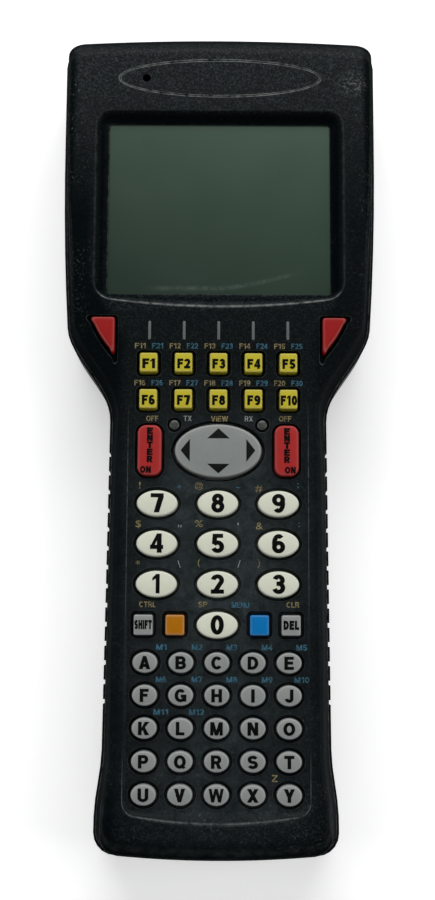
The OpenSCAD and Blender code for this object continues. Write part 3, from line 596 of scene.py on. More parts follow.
def lip_line(t):
    """A line along the lip's inner slope, from its foot (0) to its crest (1), open towards the head."""
    half = lip_x + lip_run * t
    low = -116.65 - 2.35 * t
    bow = 0.25 + 1.75 * t
    r = 3.0 + 1.6 * t
    start_y = -20
    right = [(half, start_y + (low + r - start_y) * i / 46) for i in range(46)]
    right += [(half - r + r * math.cos(a), low + r - r * math.sin(a))
              for a in [math.radians(90 * i / 9) for i in range(10)]]
    for i in range(1, 25):
        share = 1 - i / 24
        right.append(((half - r) * share, low - bow * (1 - share ** 2)))
    return right + [(-x, y) for x, y in right[-2::-1]]


lip_lines = []
for t, share in lip_slope + lip_back:
    line = [front.verts.new((x * MM, y * MM, (face_z + lip(y) * share) * MM)) for x, y in lip_line(t)]
    for v in line:
        v[wear_and_highlight] = lip_crest_highlight.get(t, 0) * ease((-96 - v.co.y / MM) / 16)
    lip_lines.append(line)
fill(front, rings[-1], holes, lip_lines)
fill(front, inner_high, ceiling_holes, up=False)


def worn_black_abs():
    """Spark-eroded black ABS: fine grain, smoother and greyer where hands rub, pale edge scuffs, painted
    sheen, shade and highlights.
    """
    material, tree, shader, place = new_material("spark-eroded black ABS")
    across, along, height = add(tree, "ShaderNodeSeparateXYZ", {0: place}).outputs
    aside = add(tree, "ShaderNodeMath", {0: across}, operation="ABSOLUTE").outputs[0]
    # Each effect's strength changes between two places: what is measured, both places in mm, both strengths.
    zones = {}
    for zone, measured, start, stop, first, last in (
            ("between_keys", aside, 31, 10, 0.15, 1.0), ("above_tail", along, -122, -118, 0.3, 1.0),
            ("face", height, 36.8, 37.95, 0.2, 1.0), ("well_foot_light", aside, 40, 36, 0.0, 1.9),
            ("tail_edge", along, -128.5, -124.5, 0.0, 1.0), ("palm", along, -122, -114, 1.7, 1.0),
            ("below_head_shade", along, 105, 70, 0.0, 1.0), ("left_side_shade", across, -20, 20, 1.0, 0.6),
            ("outer_strip_shade", aside, 46.3, 48, 0.0, 0.85), ("head_end_light", along, 85, 128, 0.4, 1.5),
            ("head_sides", aside, 34, 50, 0.0, 1.0), ("lower_keys", along, -30, -125, 0.0, 0.8),
            ("below_neck", along, 10, -10, 0.0, 0.5), ("above_letters", along, -65, -45, 0.0, 1.0),
            ("roughness", height, 36.6, 37.9, 0.72, 0.42), ("shine", height, 36.2, 37.9, 0.01, 0.08)):
        zones[zone] = add(tree, "ShaderNodeMapRange", {0: measured, 1: start * MM, 2: stop * MM, 3: first,
                                                       4: last}).outputs[0]
    patches = add(tree, "ShaderNodeTexNoise",
                  {"Vector": place, "Scale": per_mm(16), "Detail": 4, "Roughness": 0.6})
    grip = add(tree, "ShaderNodeMapRange", {0: along, 1: 0.025, 2: -0.03, 3: 0.0, 4: 1.0},
               interpolation_type="SMOOTHSTEP")
    letters = add(tree, "ShaderNodeMapRange", {0: along, 1: -0.055, 2: -0.075, 3: 1.0, 4: 0.72},
                  interpolation_type="SMOOTHSTEP")
    handled = add(tree, "ShaderNodeMath", {0: grip.outputs[0], 1: letters.outputs[0]}, operation="MULTIPLY")
    rub = add(tree, "ShaderNodeMath", {0: handled.outputs[0], 1: patches.outputs["Fac"]},
              operation="MULTIPLY")
    # Grime lies between the keys in smears, wiped thin in places. The same paler grey over the lower keys is
    # also a painted sheen of the top light.
    keyed = add(tree, "ShaderNodeMath", {0: zones["between_keys"], 1: zones["above_tail"]},
                operation="MULTIPLY")
    smears = add(tree, "ShaderNodeTexNoise",
                 {"Vector": place, "Scale": per_mm(3.5), "Detail": 5, "Roughness": 0.75, "Distortion": 0.6})
    smeared = add(tree, "ShaderNodeMapRange", {0: smears.outputs["Fac"], 1: 0.32, 2: 0.68, 3: 0.35, 4: 1.5})
    wiped = add(tree, "ShaderNodeMath", {0: rub.outputs[0], 1: smeared.outputs[0]}, operation="MULTIPLY")
    dust_and_sheen = add(tree, "ShaderNodeMath", {0: wiped.outputs[0], 1: keyed.outputs[0]}, operation="MULTIPLY")
    body = add(tree, "ShaderNodeMix", {0: dust_and_sheen.outputs[0], 6: colour("#03080a"), 7: colour("#3b4244")},
               data_type="RGBA")
    # The grain shows as fine lighter points, drawn somewhat coarser than real. On the walls it is left as
    # moulded; on the face it is rubbed light. Its paleness also carries painted light and shade: stronger
    # towards the top end of the head and on the slope at the foot of the display well, which face the top
    # light, and gone on the tail's rounded end, which is painted shade.
    grain = add(tree, "ShaderNodeTexNoise",
                {"Vector": place, "Scale": per_mm(0.65), "Detail": 3, "Roughness": 0.7})
    points = add(tree, "ShaderNodeMapRange", {0: grain.outputs["Fac"], 1: 0.47, 2: 0.66, 3: 0.0, 4: 0.75})
    near_well_foot = add(tree, "ShaderNodeMath", {0: along, 1: 0.0425, 2: 0.0035}, operation="COMPARE")
    well_foot_light = add(tree, "ShaderNodeMath", {0: near_well_foot.outputs[0], 1: zones["well_foot_light"]}, operation="MULTIPLY")
    open_face = add(tree, "ShaderNodeMath", {0: zones["face"], 1: well_foot_light.outputs[0]}, operation="MAXIMUM")
    # The margins beside the keys are painted darker, more on the left and fading out towards the top of the
    # head, and so is the outermost strip down both sides of the head: painted shade where the face rounds
    # away.
    margin_at = add(tree, "ShaderNodeMapRange", {0: along, 1: 0.03, 2: 0.05, 3: 0.0285, 4: 0.039})
    past = add(tree, "ShaderNodeMath", {0: aside, 1: margin_at.outputs[0]}, operation="SUBTRACT")
    margin = add(tree, "ShaderNodeMapRange", {0: past.outputs[0], 1: 0.0, 2: 0.004, 3: 0.0, 4: 0.8})
    lower_margin_shade = add(tree, "ShaderNodeMath", {0: margin.outputs[0], 1: zones["below_head_shade"]},
                       operation="MULTIPLY")
    margin_shade = add(tree, "ShaderNodeMath", {0: lower_margin_shade.outputs[0], 1: zones["left_side_shade"]},
                 operation="MULTIPLY")
    black = add(tree, "ShaderNodeMath", {0: margin_shade.outputs[0], 1: zones["outer_strip_shade"]}, operation="MAXIMUM")
    unshaded_share = add(tree, "ShaderNodeMath", {0: 1.0, 1: black.outputs[0]}, operation="SUBTRACT")
    lit = points
    for share in (open_face.outputs[0], zones["tail_edge"], zones["head_end_light"], zones["palm"],
                  unshaded_share.outputs[0]):
        lit = add(tree, "ShaderNodeMath", {0: lit.outputs[0], 1: share}, operation="MULTIPLY")
    grained = add(tree, "ShaderNodeMix", {0: lit.outputs[0], 6: body.outputs[2], 7: colour("#2b3234")},
                  data_type="RGBA")
    # Pale specks of handling, about 0.3 mm wide, are coarser than real so that they show. They gather towards
    # the sides of the head and beside the lower keys.
    specks = add(tree, "ShaderNodeTexNoise",
                 {"Vector": place, "Scale": per_mm(0.9), "Detail": 5, "Roughness": 0.8})
    speck_mask = add(tree, "ShaderNodeMapRange", {0: specks.outputs["Fac"], 1: 0.57, 2: 0.72, 3: 0.0, 4: 0.6})
    exposed = add(tree, "ShaderNodeMath", {0: zones["head_sides"], 1: zones["lower_keys"]},
                  operation="MAXIMUM")
    gathered = add(tree, "ShaderNodeMapRange", {0: patches.outputs["Fac"], 1: 0.42, 2: 0.6, 3: 0.0, 4: 1.0})
    chance = add(tree, "ShaderNodeMath", {0: gathered.outputs[0], 1: exposed.outputs[0]},
                 operation="MULTIPLY")
    scuffed = add(tree, "ShaderNodeMath", {0: speck_mask.outputs[0], 1: chance.outputs[0]},
                  operation="MULTIPLY")
    # Edges are drawn pale where the mesh marks them: chipped where they are worn, and painted highlights
    # along the joint's ledge, the lip's crest, the well's foot and the plate's groove.
    worn = add(tree, "ShaderNodeAttribute", attribute_name="wear_and_highlight")
    chips = add(tree, "ShaderNodeTexNoise",
                {"Vector": place, "Scale": per_mm(2.4), "Detail": 5, "Roughness": 0.7})
    chip_mask = add(tree, "ShaderNodeMapRange", {0: chips.outputs["Fac"], 1: 0.32, 2: 0.62, 3: 0.0, 4: 0.55})
    edge = add(tree, "ShaderNodeMath", {0: worn.outputs["Fac"], 1: chip_mask.outputs[0]},
               operation="MULTIPLY")
    # One corner of the head has been knocked: a cluster of pale nicks.
    knock = add(tree, "ShaderNodeVectorMath", {0: place, 1: (0.0435, 0.1155, 0.038)}, operation="DISTANCE")
    near_knock = add(tree, "ShaderNodeMapRange",
                     {0: knock.outputs["Value"], 1: 0.0055, 2: 0.001, 3: 0.0, 4: 1.0})
    nick_size = add(tree, "ShaderNodeMapRange", {0: specks.outputs["Fac"], 1: 0.5, 2: 0.62, 3: 0.0, 4: 0.7})
    knocked = add(tree, "ShaderNodeMath", {0: near_knock.outputs[0], 1: nick_size.outputs[0]},
                  operation="MULTIPLY")
    # A faint broken pale line where each margin begins, from below the neck to above the letter keys, is a
    # painted highlight along that edge.
    line = add(tree, "ShaderNodeMath", {0: past.outputs[0], 1: 0.0, 2: 0.00014}, operation="COMPARE")
    for share in (zones["below_neck"], zones["above_letters"], chip_mask.outputs[0]):
        line = add(tree, "ShaderNodeMath", {0: line.outputs[0], 1: share}, operation="MULTIPLY")
    pale = scuffed
    for mark in (knocked, edge, line):
        pale = add(tree, "ShaderNodeMath", {0: pale.outputs[0], 1: mark.outputs[0]}, operation="MAXIMUM")
    tone = add(tree, "ShaderNodeMix", {0: pale.outputs[0], 6: grained.outputs[2], 7: colour("#7d8280")},
               data_type="RGBA")
    tree.links.new(tone.outputs[2], shader.inputs["Base Color"])
    # The face is smoother than the side walls and the back, which keep the full texture of the mould.
    polish = add(tree, "ShaderNodeMath", {0: rub.outputs[0], 1: 0.08}, operation="MULTIPLY")
    gloss = add(tree, "ShaderNodeMath", {0: zones["roughness"], 1: polish.outputs[0]}, operation="SUBTRACT")
    tree.links.new(gloss.outputs[0], shader.inputs["Roughness"])
    relief = add(tree, "ShaderNodeBump",
                 {"Height": grain.outputs["Fac"], "Strength": 0.5, "Distance": 0.00016})
    tree.links.new(relief.outputs[0], shader.inputs["Normal"])
    # The rough walls and margins hardly shine, even along the surface.
    matt = add(tree, "ShaderNodeMath", {0: unshaded_share.outputs[0], 1: zones["tail_edge"]}, operation="MULTIPLY")
    sheen = add(tree, "ShaderNodeMath", {0: zones["shine"], 1: matt.outputs[0]}, operation="MULTIPLY")
    tree.links.new(sheen.outputs[0], shader.inputs["Specular IOR Level"])
    return material


black_abs = worn_black_abs()
front_half = piece("front_half", front, black_abs, "housing")
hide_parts("front_housing")

# ---- Display --------------------------------------------------------------------
# A clear window bonded under the well's ledge over a grey-green liquid crystal panel
# that is switched off. The pane shows the panel's tone with a soft sheen on top, and a
# painted reflection makes it paler to the top right.


def display_pane():
    """Hard-coated clear pane on a dead liquid crystal panel: grey-green, paler to the top right as a painted
    reflection, satin.
    """
    material, tree, shader, place = new_material("clear pane over liquid crystal")
    across, along = add(tree, "ShaderNodeSeparateXYZ", {0: place}).outputs[:2]
    # A painted reflection: the tone grows paler up the pane and towards its right side.
    up = add(tree, "ShaderNodeMapRange", {0: along, 1: 0.044, 2: 0.104, 3: 0.0, 4: 0.8})
    reflection_rightward = add(tree, "ShaderNodeMapRange", {0: across, 1: -0.036, 2: 0.036, 3: 0.0, 4: 0.25})
    slope = add(tree, "ShaderNodeMath", {0: up.outputs[0], 1: reflection_rightward.outputs[0]}, operation="ADD")
    tone = add(tree, "ShaderNodeMix", {0: slope.outputs[0], 6: colour("#1a2c22"), 7: colour("#384d40")},
               data_type="RGBA")
    # A rubbed mark runs along the foot of the pane and curls up to the right; it is broken up by fine noise.
    right = add(tree, "ShaderNodeMapRange", {0: across, 1: 0.0, 2: 0.0275, 3: 0.0, 4: 1.0})
    curl = add(tree, "ShaderNodeMath", {0: right.outputs[0], 1: 1.4}, operation="POWER")
    line = add(tree, "ShaderNodeMapRange", {0: curl.outputs[0], 1: 0.0, 2: 1.0, 3: 0.0473, 4: 0.0531})
    off = add(tree, "ShaderNodeMath", {0: along, 1: line.outputs[0]}, operation="SUBTRACT")
    away = add(tree, "ShaderNodeMath", {0: off.outputs[0]}, operation="ABSOLUTE")
    band = add(tree, "ShaderNodeMapRange", {0: away.outputs[0], 1: 0.0012, 2: 0.0001, 3: 0.0, 4: 1.0},
               interpolation_type="SMOOTHSTEP")
    outside = add(tree, "ShaderNodeMath", {0: across, 1: 0.0015}, operation="SUBTRACT")
    reach = add(tree, "ShaderNodeMath", {0: outside.outputs[0]}, operation="ABSOLUTE")
    ends = add(tree, "ShaderNodeMapRange", {0: reach.outputs[0], 1: 0.028, 2: 0.017, 3: 0.0, 4: 1.0},
               interpolation_type="SMOOTHSTEP")
    rubs = add(tree, "ShaderNodeTexNoise",
               {"Vector": place, "Scale": per_mm(2.5), "Detail": 5, "Roughness": 0.7})
    broken = add(tree, "ShaderNodeMapRange", {0: rubs.outputs["Fac"], 1: 0.34, 2: 0.66, 3: 0.0, 4: 0.13})
    mark = add(tree, "ShaderNodeMath", {0: band.outputs[0], 1: ends.outputs[0]}, operation="MULTIPLY")
    haze = add(tree, "ShaderNodeMath", {0: mark.outputs[0], 1: broken.outputs[0]}, operation="MULTIPLY")
    hazed = add(tree, "ShaderNodeMix", {0: haze.outputs[0], 6: tone.outputs[2], 7: colour("#8b9a90")},
                data_type="RGBA")
    tree.links.new(hazed.outputs[2], shader.inputs["Base Color"])
    smear = add(tree, "ShaderNodeTexNoise", {"Vector": place, "Scale": per_mm(30), "Detail": 2})
    gloss = add(tree, "ShaderNodeMapRange", {0: smear.outputs["Fac"], 1: 0.0, 2: 1.0, 3: 0.22, 4: 0.36})
    tree.links.new(gloss.outputs[0], shader.inputs["Roughness"])
    shader.inputs["Specular IOR Level"].default_value = 0.4
    return material


def refinish(node, material):
    """Gives a CAD piece whose shape is right its finish."""
    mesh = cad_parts[node].data
    mesh.materials.clear()
    mesh.materials.append(material)


refinish("display_window", display_pane())


def moulded(name, base, other, roughness, patch_mm, grain_mm, grain_depth, spread=0.08):
    """A plain moulded or cast finish: two close tones in patches, and a fine grain."""
    material, tree, shader, place = new_material(name)
    patches = add(tree, "ShaderNodeTexNoise", {"Vector": place, "Scale": per_mm(patch_mm), "Detail": 4})
    tone = add(tree, "ShaderNodeMix", {0: patches.outputs["Fac"], 6: colour(base), 7: colour(other)},
               data_type="RGBA")
    tree.links.new(tone.outputs[2], shader.inputs["Base Color"])
    gloss = add(tree, "ShaderNodeMapRange",
                {0: patches.outputs["Fac"], 1: 0.25, 2: 0.75, 3: roughness - spread, 4: roughness + spread})
    tree.links.new(gloss.outputs[0], shader.inputs["Roughness"])
    grain = add(tree, "ShaderNodeTexNoise", {"Vector": place, "Scale": per_mm(grain_mm), "Detail": 3})
    relief = add(tree, "ShaderNodeBump", {"Height": grain.outputs["Fac"], "Strength": 0.5,
                                          "Distance": grain_depth * MM})
    tree.links.new(relief.outputs[0], shader.inputs["Normal"])
    return material


# Nitrile rubber is nearly black and matt; the panel is smooth glass, seen only when the window is off.
black_rubber = moulded("black nitrile rubber", "#0b0c0c", "#151616", 0.6, 5, 0.4, 0.04)
liquid_crystal = moulded("grey-green liquid crystal glass", "#3f5245", "#4a5d50", 0.2, 20, 2, 0.002)
refinish("window_gasket", black_rubber)
refinish("housing_seal", black_rubber)
refinish("lcd_panel", liquid_crystal)

# ---- Name plate -----------------------------------------------------------------
# A thin oval plate of matt black plastic, bonded flush in its pocket over the
# beeper's vent. It is bare.

plate_steps = ((-0.05, 37.05), (0, 37.1), (0, 37.7), (-0.08, 37.88), (-0.25, 37.94), (-0.45, 37.95))
plate_vent_steps = ((0.12, 37.95), (0.02, 37.85), (0, 37.7), (0, 37.05))
plate = bmesh.new()
plate_highlight = plate.verts.layers.float.new("wear_and_highlight")
plate_rings = lofted(plate, profile(plate_shape, plate_steps, 0, badge_y))
vent = lofted(plate, profile(vent_shape, plate_vent_steps, vent_x, badge_y))
fill(plate, plate_rings[-1], [vent[0]])
fill(plate, plate_rings[0], [vent[-1]], up=False)
# The edge that stands next to the casing is drawn pale nearly all round: a painted highlight along the
# groove.
edge_wear_and_highlight(plate_highlight, plate_rings[3], 2.5)
edge_wear_and_highlight(plate_highlight, plate_rings[4], 1.2)
name_plate = piece("name_plate", plate, black_abs, "housing")
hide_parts("badge_plate")

# ---- Tick bars --------------------------------------------------------------------
# Five thin grey bars stand in a row under the display, one above each function key.
# They are enamel, screen printed thick on the face.


def node_group(name, sizes):
    """A geometry tree with named number inputs; gives the tree and its start and end nodes."""
    tree = bpy.data.node_groups.new(name, "GeometryNodeTree")
    tree.interface.new_socket("Geometry", in_out="INPUT", socket_type="NodeSocketGeometry")
    for label, kind in sizes:
        tree.interface.new_socket(label, in_out="INPUT", socket_type=kind)
    tree.interface.new_socket("Geometry", in_out="OUTPUT", socket_type="NodeSocketGeometry")
    return tree, tree.nodes.new("NodeGroupInput"), tree.nodes.new("NodeGroupOutput")


def repeat_tree():
    """Repeats the piece's own mesh along a line at an even pitch."""
    tree, start, end = node_group("even_row", [("Count", "NodeSocketInt"), ("Pitch", "NodeSocketVector"),
                                               ("Finish", "NodeSocketMaterial")])
    line = add(tree, "GeometryNodeMeshLine",
               {"Count": start.outputs["Count"], "Offset": start.outputs["Pitch"]})
    row = add(tree, "GeometryNodeInstanceOnPoints",
              {"Points": line.outputs[0], "Instance": start.outputs["Geometry"]})
    solid = add(tree, "GeometryNodeRealizeInstances", {0: row.outputs[0]})
    done = add(tree, "GeometryNodeSetMaterial", {0: solid.outputs[0], "Material": start.outputs["Finish"]})
    tree.links.new(done.outputs[0], end.inputs[0])
    return tree


even_row = repeat_tree()


def in_row(name, bm, material, body, count, pitch):
    """A row of like pieces from one mesh, made plain again before it rides on its body."""
    smooth(bm)
    made = placed(name, bm)
    row = made.modifiers.new("even row", "NODES")
    row.node_group = even_row
    sockets = {s.name: s.identifier for s in even_row.interface.items_tree if s.in_out == "INPUT"}
    row[sockets["Count"]] = count
    row[sockets["Pitch"]] = [p * MM for p in pitch]
    row[sockets["Finish"]] = material
    bpy.context.view_layer.update()
    plain = bpy.data.meshes.new_from_object(made.evaluated_get(bpy.context.evaluated_depsgraph_get()))
    made.modifiers.remove(row)
    made.data = plain
    plain.name = name
    even_shading(made)
    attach(made, body)
    return made


def capsule(w, h, grow):
    """An upright bar with round ends, grown by a distance."""
    r = w / 2 + grow
    points = []
    for half_turn, end in ((0, 1), (180, -1)):
        for i in range(10):
            a = math.radians(half_turn + 180 * i / 9)
            points.append((r * math.cos(a), end * (h - w) / 2 + r * math.sin(a)))
    return points


tick_pitch, tick_y = 11.05, 32.4
tick_steps = ((0, 37.8), (0, 38.06), (-0.1, 38.14), (-0.25, 38.17))
tick = bmesh.new()
tick_rings = lofted(tick, profile(lambda g: capsule(0.95, 6.2, g), tick_steps, -2 * tick_pitch, tick_y))
cap(tick, tick_rings[-1])
cap(tick, tick_rings[0], up=False)
grey_paint = moulded("worn grey paint", "#4b5150", "#5b6161", 0.5, 2.5, 0.5, 0.02)
in_row("tick_bars", tick, grey_paint, "housing", 5, (tick_pitch, 0, 0))

# ---- Keys -----------------------------------------------------------------------
# Each key is a cap of cast silicone on a plunger, with a rim under the face that
# holds it in. The caps have soft edges and slightly crowned tops, and stand 1.8 mm
# proud. Their legends are printed in black ink under a clear coat.

key_top, stem_low, stem_r = 39.8, 33.2, 1.2
rim_high, rim_thick = 35.7, 1.1


def silicone(name, base, other, rim=0.16):
    """Cast silicone rubber with a matt coat: an even colour with faint cloudiness and hardly any sheen."""
    material = moulded(name, base, other, 0.55, 3.2, 0.35, 0.015, spread=0.05)
    tree = material.node_tree
    shader = tree.nodes["Principled BSDF"]
    shader.inputs["Specular IOR Level"].default_value = 0.12
    # The rims of the caps are drawn paler: a painted highlight on their upper edges.
    worn = add(tree, "ShaderNodeAttribute", attribute_name="wear_and_highlight")
    amount = add(tree, "ShaderNodeMath", {0: worn.outputs["Fac"], 1: rim}, operation="MULTIPLY")
    unworn = shader.inputs["Base Color"].links[0].from_socket
    rubbed = add(tree, "ShaderNodeMix", {0: amount.outputs[0], 6: unworn, 7: colour("#e2e2de")},
                 data_type="RGBA")
    tree.links.new(rubbed.outputs[2], shader.inputs["Base Color"])
    return material


def cap_mesh(shape, px, py, crown, soft, skirt_rim=1.0, rim_top=rim_high):
    """A key cap of an outline at a place: plunger, rim, skirt, soft edge and crowned top."""
    outline, rim, land = [at(shape(grow), px, py) for grow in (0, skirt_rim, -soft)]
    middle_x = sum(p[0] for p in outline) / len(outline)
    middle_y = sum(p[1] for p in outline) / len(outline)
    bearings = [math.atan2(y - middle_y, x - middle_x) for x, y in outline]
    stem = [(middle_x + stem_r * math.cos(a), middle_y + stem_r * math.sin(a)) for a in bearings]
    rim_foot = rim_top - rim_thick
    edge_z = key_top - crown - soft
    loops = [[(x, y, z) for x, y in points]
             for points, z in ((stem, stem_low), (stem, rim_foot), (rim, rim_foot), (rim, rim_top),
                               (outline, rim_top), (outline, edge_z))]
    for i in range(1, 6):
        a = math.radians(90 * i / 5)
        loops += profile(shape, ((-soft * (1 - math.cos(a)), edge_z + soft * math.sin(a)),), px, py)
    for share in (0.8, 0.55, 0.3):
        loops.append([(middle_x + (x - middle_x) * share, middle_y + (y - middle_y) * share,
                       key_top - crown * share ** 2) for x, y in land])
    bm = bmesh.new()
    layer = bm.verts.layers.float.new("wear_and_highlight")
    made = lofted(bm, loops)
    # The shoulder of each cap is marked for the painted highlight of its rim.
    for i, amount in ((7, 0.4), (8, 1.0), (9, 1.0), (10, 0.2)):
        edge_wear_and_highlight(layer, made[i], amount)
    cap(bm, made[0], up=False)
    cap(bm, made[-1])
    return bm


# The ink stands a little above the cap and is sunk a little into it. Letters are drawn one unit high.
ink_height, ink_sink = 0.05, 0.06
letter_gap, plain_width = 0.09, 1.17


def arc(cx, cy, rx, ry, start, stop, n):
    """Points of an elliptical arc between two angles in degrees."""
    return [(cx + rx * math.cos(math.radians(start + (stop - start) * i / n)),
             cy + ry * math.sin(math.radians(start + (stop - start) * i / n))) for i in range(n + 1)]


def stroke_quads(points, half, closed=False):
    """A stroke along a line as short four-sided pieces, mitred where it turns."""
    longest, least_mitre = 0.13, 0.45
    line = []
    count = len(points) if closed else len(points) - 1
    for i in range(count):
        (x0, y0), (x1, y1) = points[i], points[(i + 1) % len(points)]
        n = max(1, math.ceil(math.hypot(x1 - x0, y1 - y0) / longest))
        line += [(x0 + (x1 - x0) * j / n, y0 + (y1 - y0) * j / n) for j in range(n)]
    if not closed:
        line.append(points[-1])
    n = len(line)
    sides = []
    for i in range(n):
        before = line[i - 1] if closed or i else line[0]
        after = line[(i + 1) % n] if closed or i < n - 1 else line[-1]
        a = Vector((line[i][0] - before[0], line[i][1] - before[1]))
        b = Vector((after[0] - line[i][0], after[1] - line[i][1]))
        a = a.normalized() if a.length else b.normalized()
        b = b.normalized() if b.length else a
        along = (a + b).normalized()
        reach = half / max((a.dot(b) * 0.5 + 0.5) ** 0.5, least_mitre)
        side = Vector((-along.y, along.x)) * reach
        here = Vector(line[i])
        sides.append((here - side, here + side))
    return [(sides[i][0], sides[(i + 1) % n][0], sides[(i + 1) % n][1], sides[i][1])
            for i in range(n if closed else n - 1)]


def slant_quads(low_0, low_1, high_0, high_1):
    """A straight limb with level ends, from the corners of its foot to those of its head, in short pieces."""
    corners = [Vector(p) for p in (low_0, low_1, high_1, high_0)]
    n = 6
    left = [corners[0].lerp(corners[3], i / n) for i in range(n + 1)]
    right = [corners[1].lerp(corners[2], i / n) for i in range(n + 1)]
    return [(left[i], right[i], right[i + 1], left[i + 1]) for i in range(n)]


def letter_shape(letter, t):
    """A letter of a plain upright grotesque, one unit high, with a stroke of t: its width and its pieces."""
    h = t / 2
    bar = 0.52
    widths = {"I": t, "1": 0.42, "J": 0.56, "L": 0.56, "F": 0.58, "E": 0.62, "T": 0.66, "Z": 0.66, "S": 0.68,
              "V": 0.72, "Y": 0.72, "C": 0.74, "K": 0.74, "X": 0.74, "A": 0.76, "G": 0.76, "O": 0.78,
              "Q": 0.78, "M": 0.82, "W": 0.98}
    w = widths.get(letter, 0.6 if letter.isdigit() else 0.7)
    mid = w / 2
    lines, loops, limbs = [], [], []

    def both(low_0, low_1, high_0, high_1):
        """A limb and its mirror image."""
        return [(low_0, low_1, high_0, high_1),
                tuple((w - x, y) for x, y in (low_1, low_0, high_1, high_0))]

    if letter in "EFL":
        lines = {"E": [[(w, 1 - h), (h, 1 - h), (h, h), (w, h)], [(h, bar), (w - 0.05, bar)]],
                 "F": [[(w, 1 - h), (h, 1 - h), (h, 0)], [(h, bar), (w - 0.07, bar)]],
                 "L": [[(h, 1), (h, h), (w, h)]]}[letter]
    elif letter == "I":
        lines = [[(h, 0), (h, 1)]]
    elif letter in "HNM":
        lines = [[(h, 0), (h, 1)], [(w - h, 0), (w - h, 1)]]
        if letter == "H":
            lines.append([(h, bar), (w - h, bar)])
        if letter == "N":
            limbs = [((w - t * 1.1, 0), (w, 0), (0, 1), (t * 1.1, 1))]
        if letter == "M":
            limbs = both((mid - 0.1, 0), (mid + 0.1, 0), (0, 1), (t * 1.2, 1))
    elif letter in "AVWXYK":
        d = t * 1.13
        if letter == "A":
            limbs = both((0, 0), (d, 0), (mid - 0.11, 1), (mid + 0.09, 1))
            lines = [[(0.16, 0.28), (w - 0.16, 0.28)]]
        if letter == "V":
            limbs = both((mid - 0.11, 0), (mid + 0.09, 0), (0, 1), (d, 1))
        if letter == "W":
            limbs = both((0.17, 0), (0.36, 0), (0, 1), (0.19, 1))
            limbs += both((0.17, 0), (0.36, 0), (mid - 0.1, 1), (mid + 0.08, 1))
        if letter == "X":
            limbs = both((0, 0), (d * 1.1, 0), (w - d * 1.1, 1), (w, 1))
        if letter == "Y":
            limbs = both((mid - h, 0.38), (mid + h, 0.38), (0, 1), (d, 1))
            lines = [[(mid, 0), (mid, 0.42)]]
        if letter == "K":
            limbs = [((w - d * 1.15, 0), (w, 0), (0.27, 0.48), (0.42, 0.64)),
                     ((t - 0.02, 0.5), (t - 0.02, 0.25), (w - d * 1.2, 1), (w, 1))]
            lines = [[(h, 0), (h, 1)]]
    elif letter == "Z":
        lines = [[(0, 1 - h), (w, 1 - h)], [(0, h), (w, h)]]
        limbs = [((0, t * 0.9), (t * 1.3, t * 0.9), (w - t * 1.3, 1 - t * 0.9), (w, 1 - t * 0.9))]
    elif letter == "T":
        lines = [[(0, 1 - h), (w, 1 - h)], [(mid, 0), (mid, 1 - h)]]
    elif letter in "OQ0":
        loops = [arc(mid, 0.5, mid - h, 0.5 - h, 0, 342.86, 20)]
        if letter == "Q":
            limbs = [((w * 0.78, -0.02), (w * 1.0, 0.08), (w * 0.48, 0.22), (w * 0.62, 0.34))]
    elif letter == "C":
        lines = [arc(mid, 0.5, mid - h, 0.5 - h, 38, 322, 22)]
    elif letter == "G":
        lines = [arc(mid, 0.5, mid - h, 0.5 - h, 42, 325, 22),
                 [(mid + 0.02, 0.46), (w - h * 0.9, 0.46), (w - h * 0.9, 0.05)]]
    elif letter == "D":
        bulge = w * 0.42
        loops = [[(h, h), (h, 1 - h), *arc(bulge, 0.5, w - h - bulge, 0.5 - h, 90, -90, 14)]]
    elif letter in "BPR":
        waist = 0.5 if letter == "B" else 0.46
        bulge = w * 0.55
        upper, lower = (1 - h - waist) / 2, (waist - h) / 2
        loops = [[(h, waist), (h, 1 - h),
                  *arc(bulge, waist + upper, w - h - 0.03 - bulge, upper, 90, -90, 10)]]
        if letter == "B":
            loops.append([(h, h), (h, waist), *arc(bulge, h + lower, w - h - bulge, lower, 90, -90, 10)])
        else:
            lines = [[(h, 0), (h, 0.6)]]
        if letter == "R":
            limbs = [((w - t * 1.15, 0), (w, 0), (w * 0.42, 0.46), (w * 0.72, 0.46))]
    elif letter == "S":
        bowl = (1 - 2 * h) / 4
        lines = [arc(mid, 1 - h - bowl, mid - h, bowl, 22, 270, 16)
                 + arc(mid, h + bowl, mid - h, bowl, 90, -158, 16)[1:]]
    elif letter == "U":
        lines = [[(h, 1)] + arc(mid, 0.33, mid - h, 0.33 - h, 180, 360, 14) + [(w - h, 1)]]
    elif letter == "J":
        lines = [[(w - h, 1)] + arc(mid, 0.31, mid - h, 0.31 - h, 0, -175, 14)]
    elif letter == "1":
        lines = [[(w - h - 0.02, 0), (w - h - 0.02, 1)]]
        limbs = [((0.0, 0.64), (0.0, 0.79), (w - t, 0.78), (w - t, 1))]
    elif letter == "2":
        lines = [arc(mid, 0.69, mid - h, 0.31 - h, 172, -28, 16) + [(h + 0.08, 0.1)], [(0, h), (w, h)]]
    elif letter == "3":
        upper, lower = (0.475 - h) / 2, (0.525 - h) / 2
        lines = [arc(mid, 0.525 + upper, mid - h - 0.02, upper, 165, -90, 14),
                 [(mid - 0.1, 0.525), (mid, 0.525)],
                 arc(mid, h + lower, mid - h, lower, 90, -165, 14)]
    elif letter == "4":
        lines = [[(0.42, 0), (0.42, 1)], [(0, 0.3), (w, 0.3)]]
        limbs = [((0, 0.3), (0.17, 0.3), (0.42 - h, 1), (0.46, 1))]
    elif letter == "5":
        lines = [[(w - 0.05, 1 - h), (h + 0.07, 1 - h), (h + 0.04, 0.46)],
                 arc(mid, 0.325, mid - h, 0.325 - h, 150, -160, 16)]
    elif letter in "69":
        loops = [arc(mid, 0.325, mid - h, 0.325 - h, 0, 340, 18)]
        lines = [arc(mid, 0.52, mid - h, 0.48 - h, 48, 195, 14)]
    elif letter == "7":
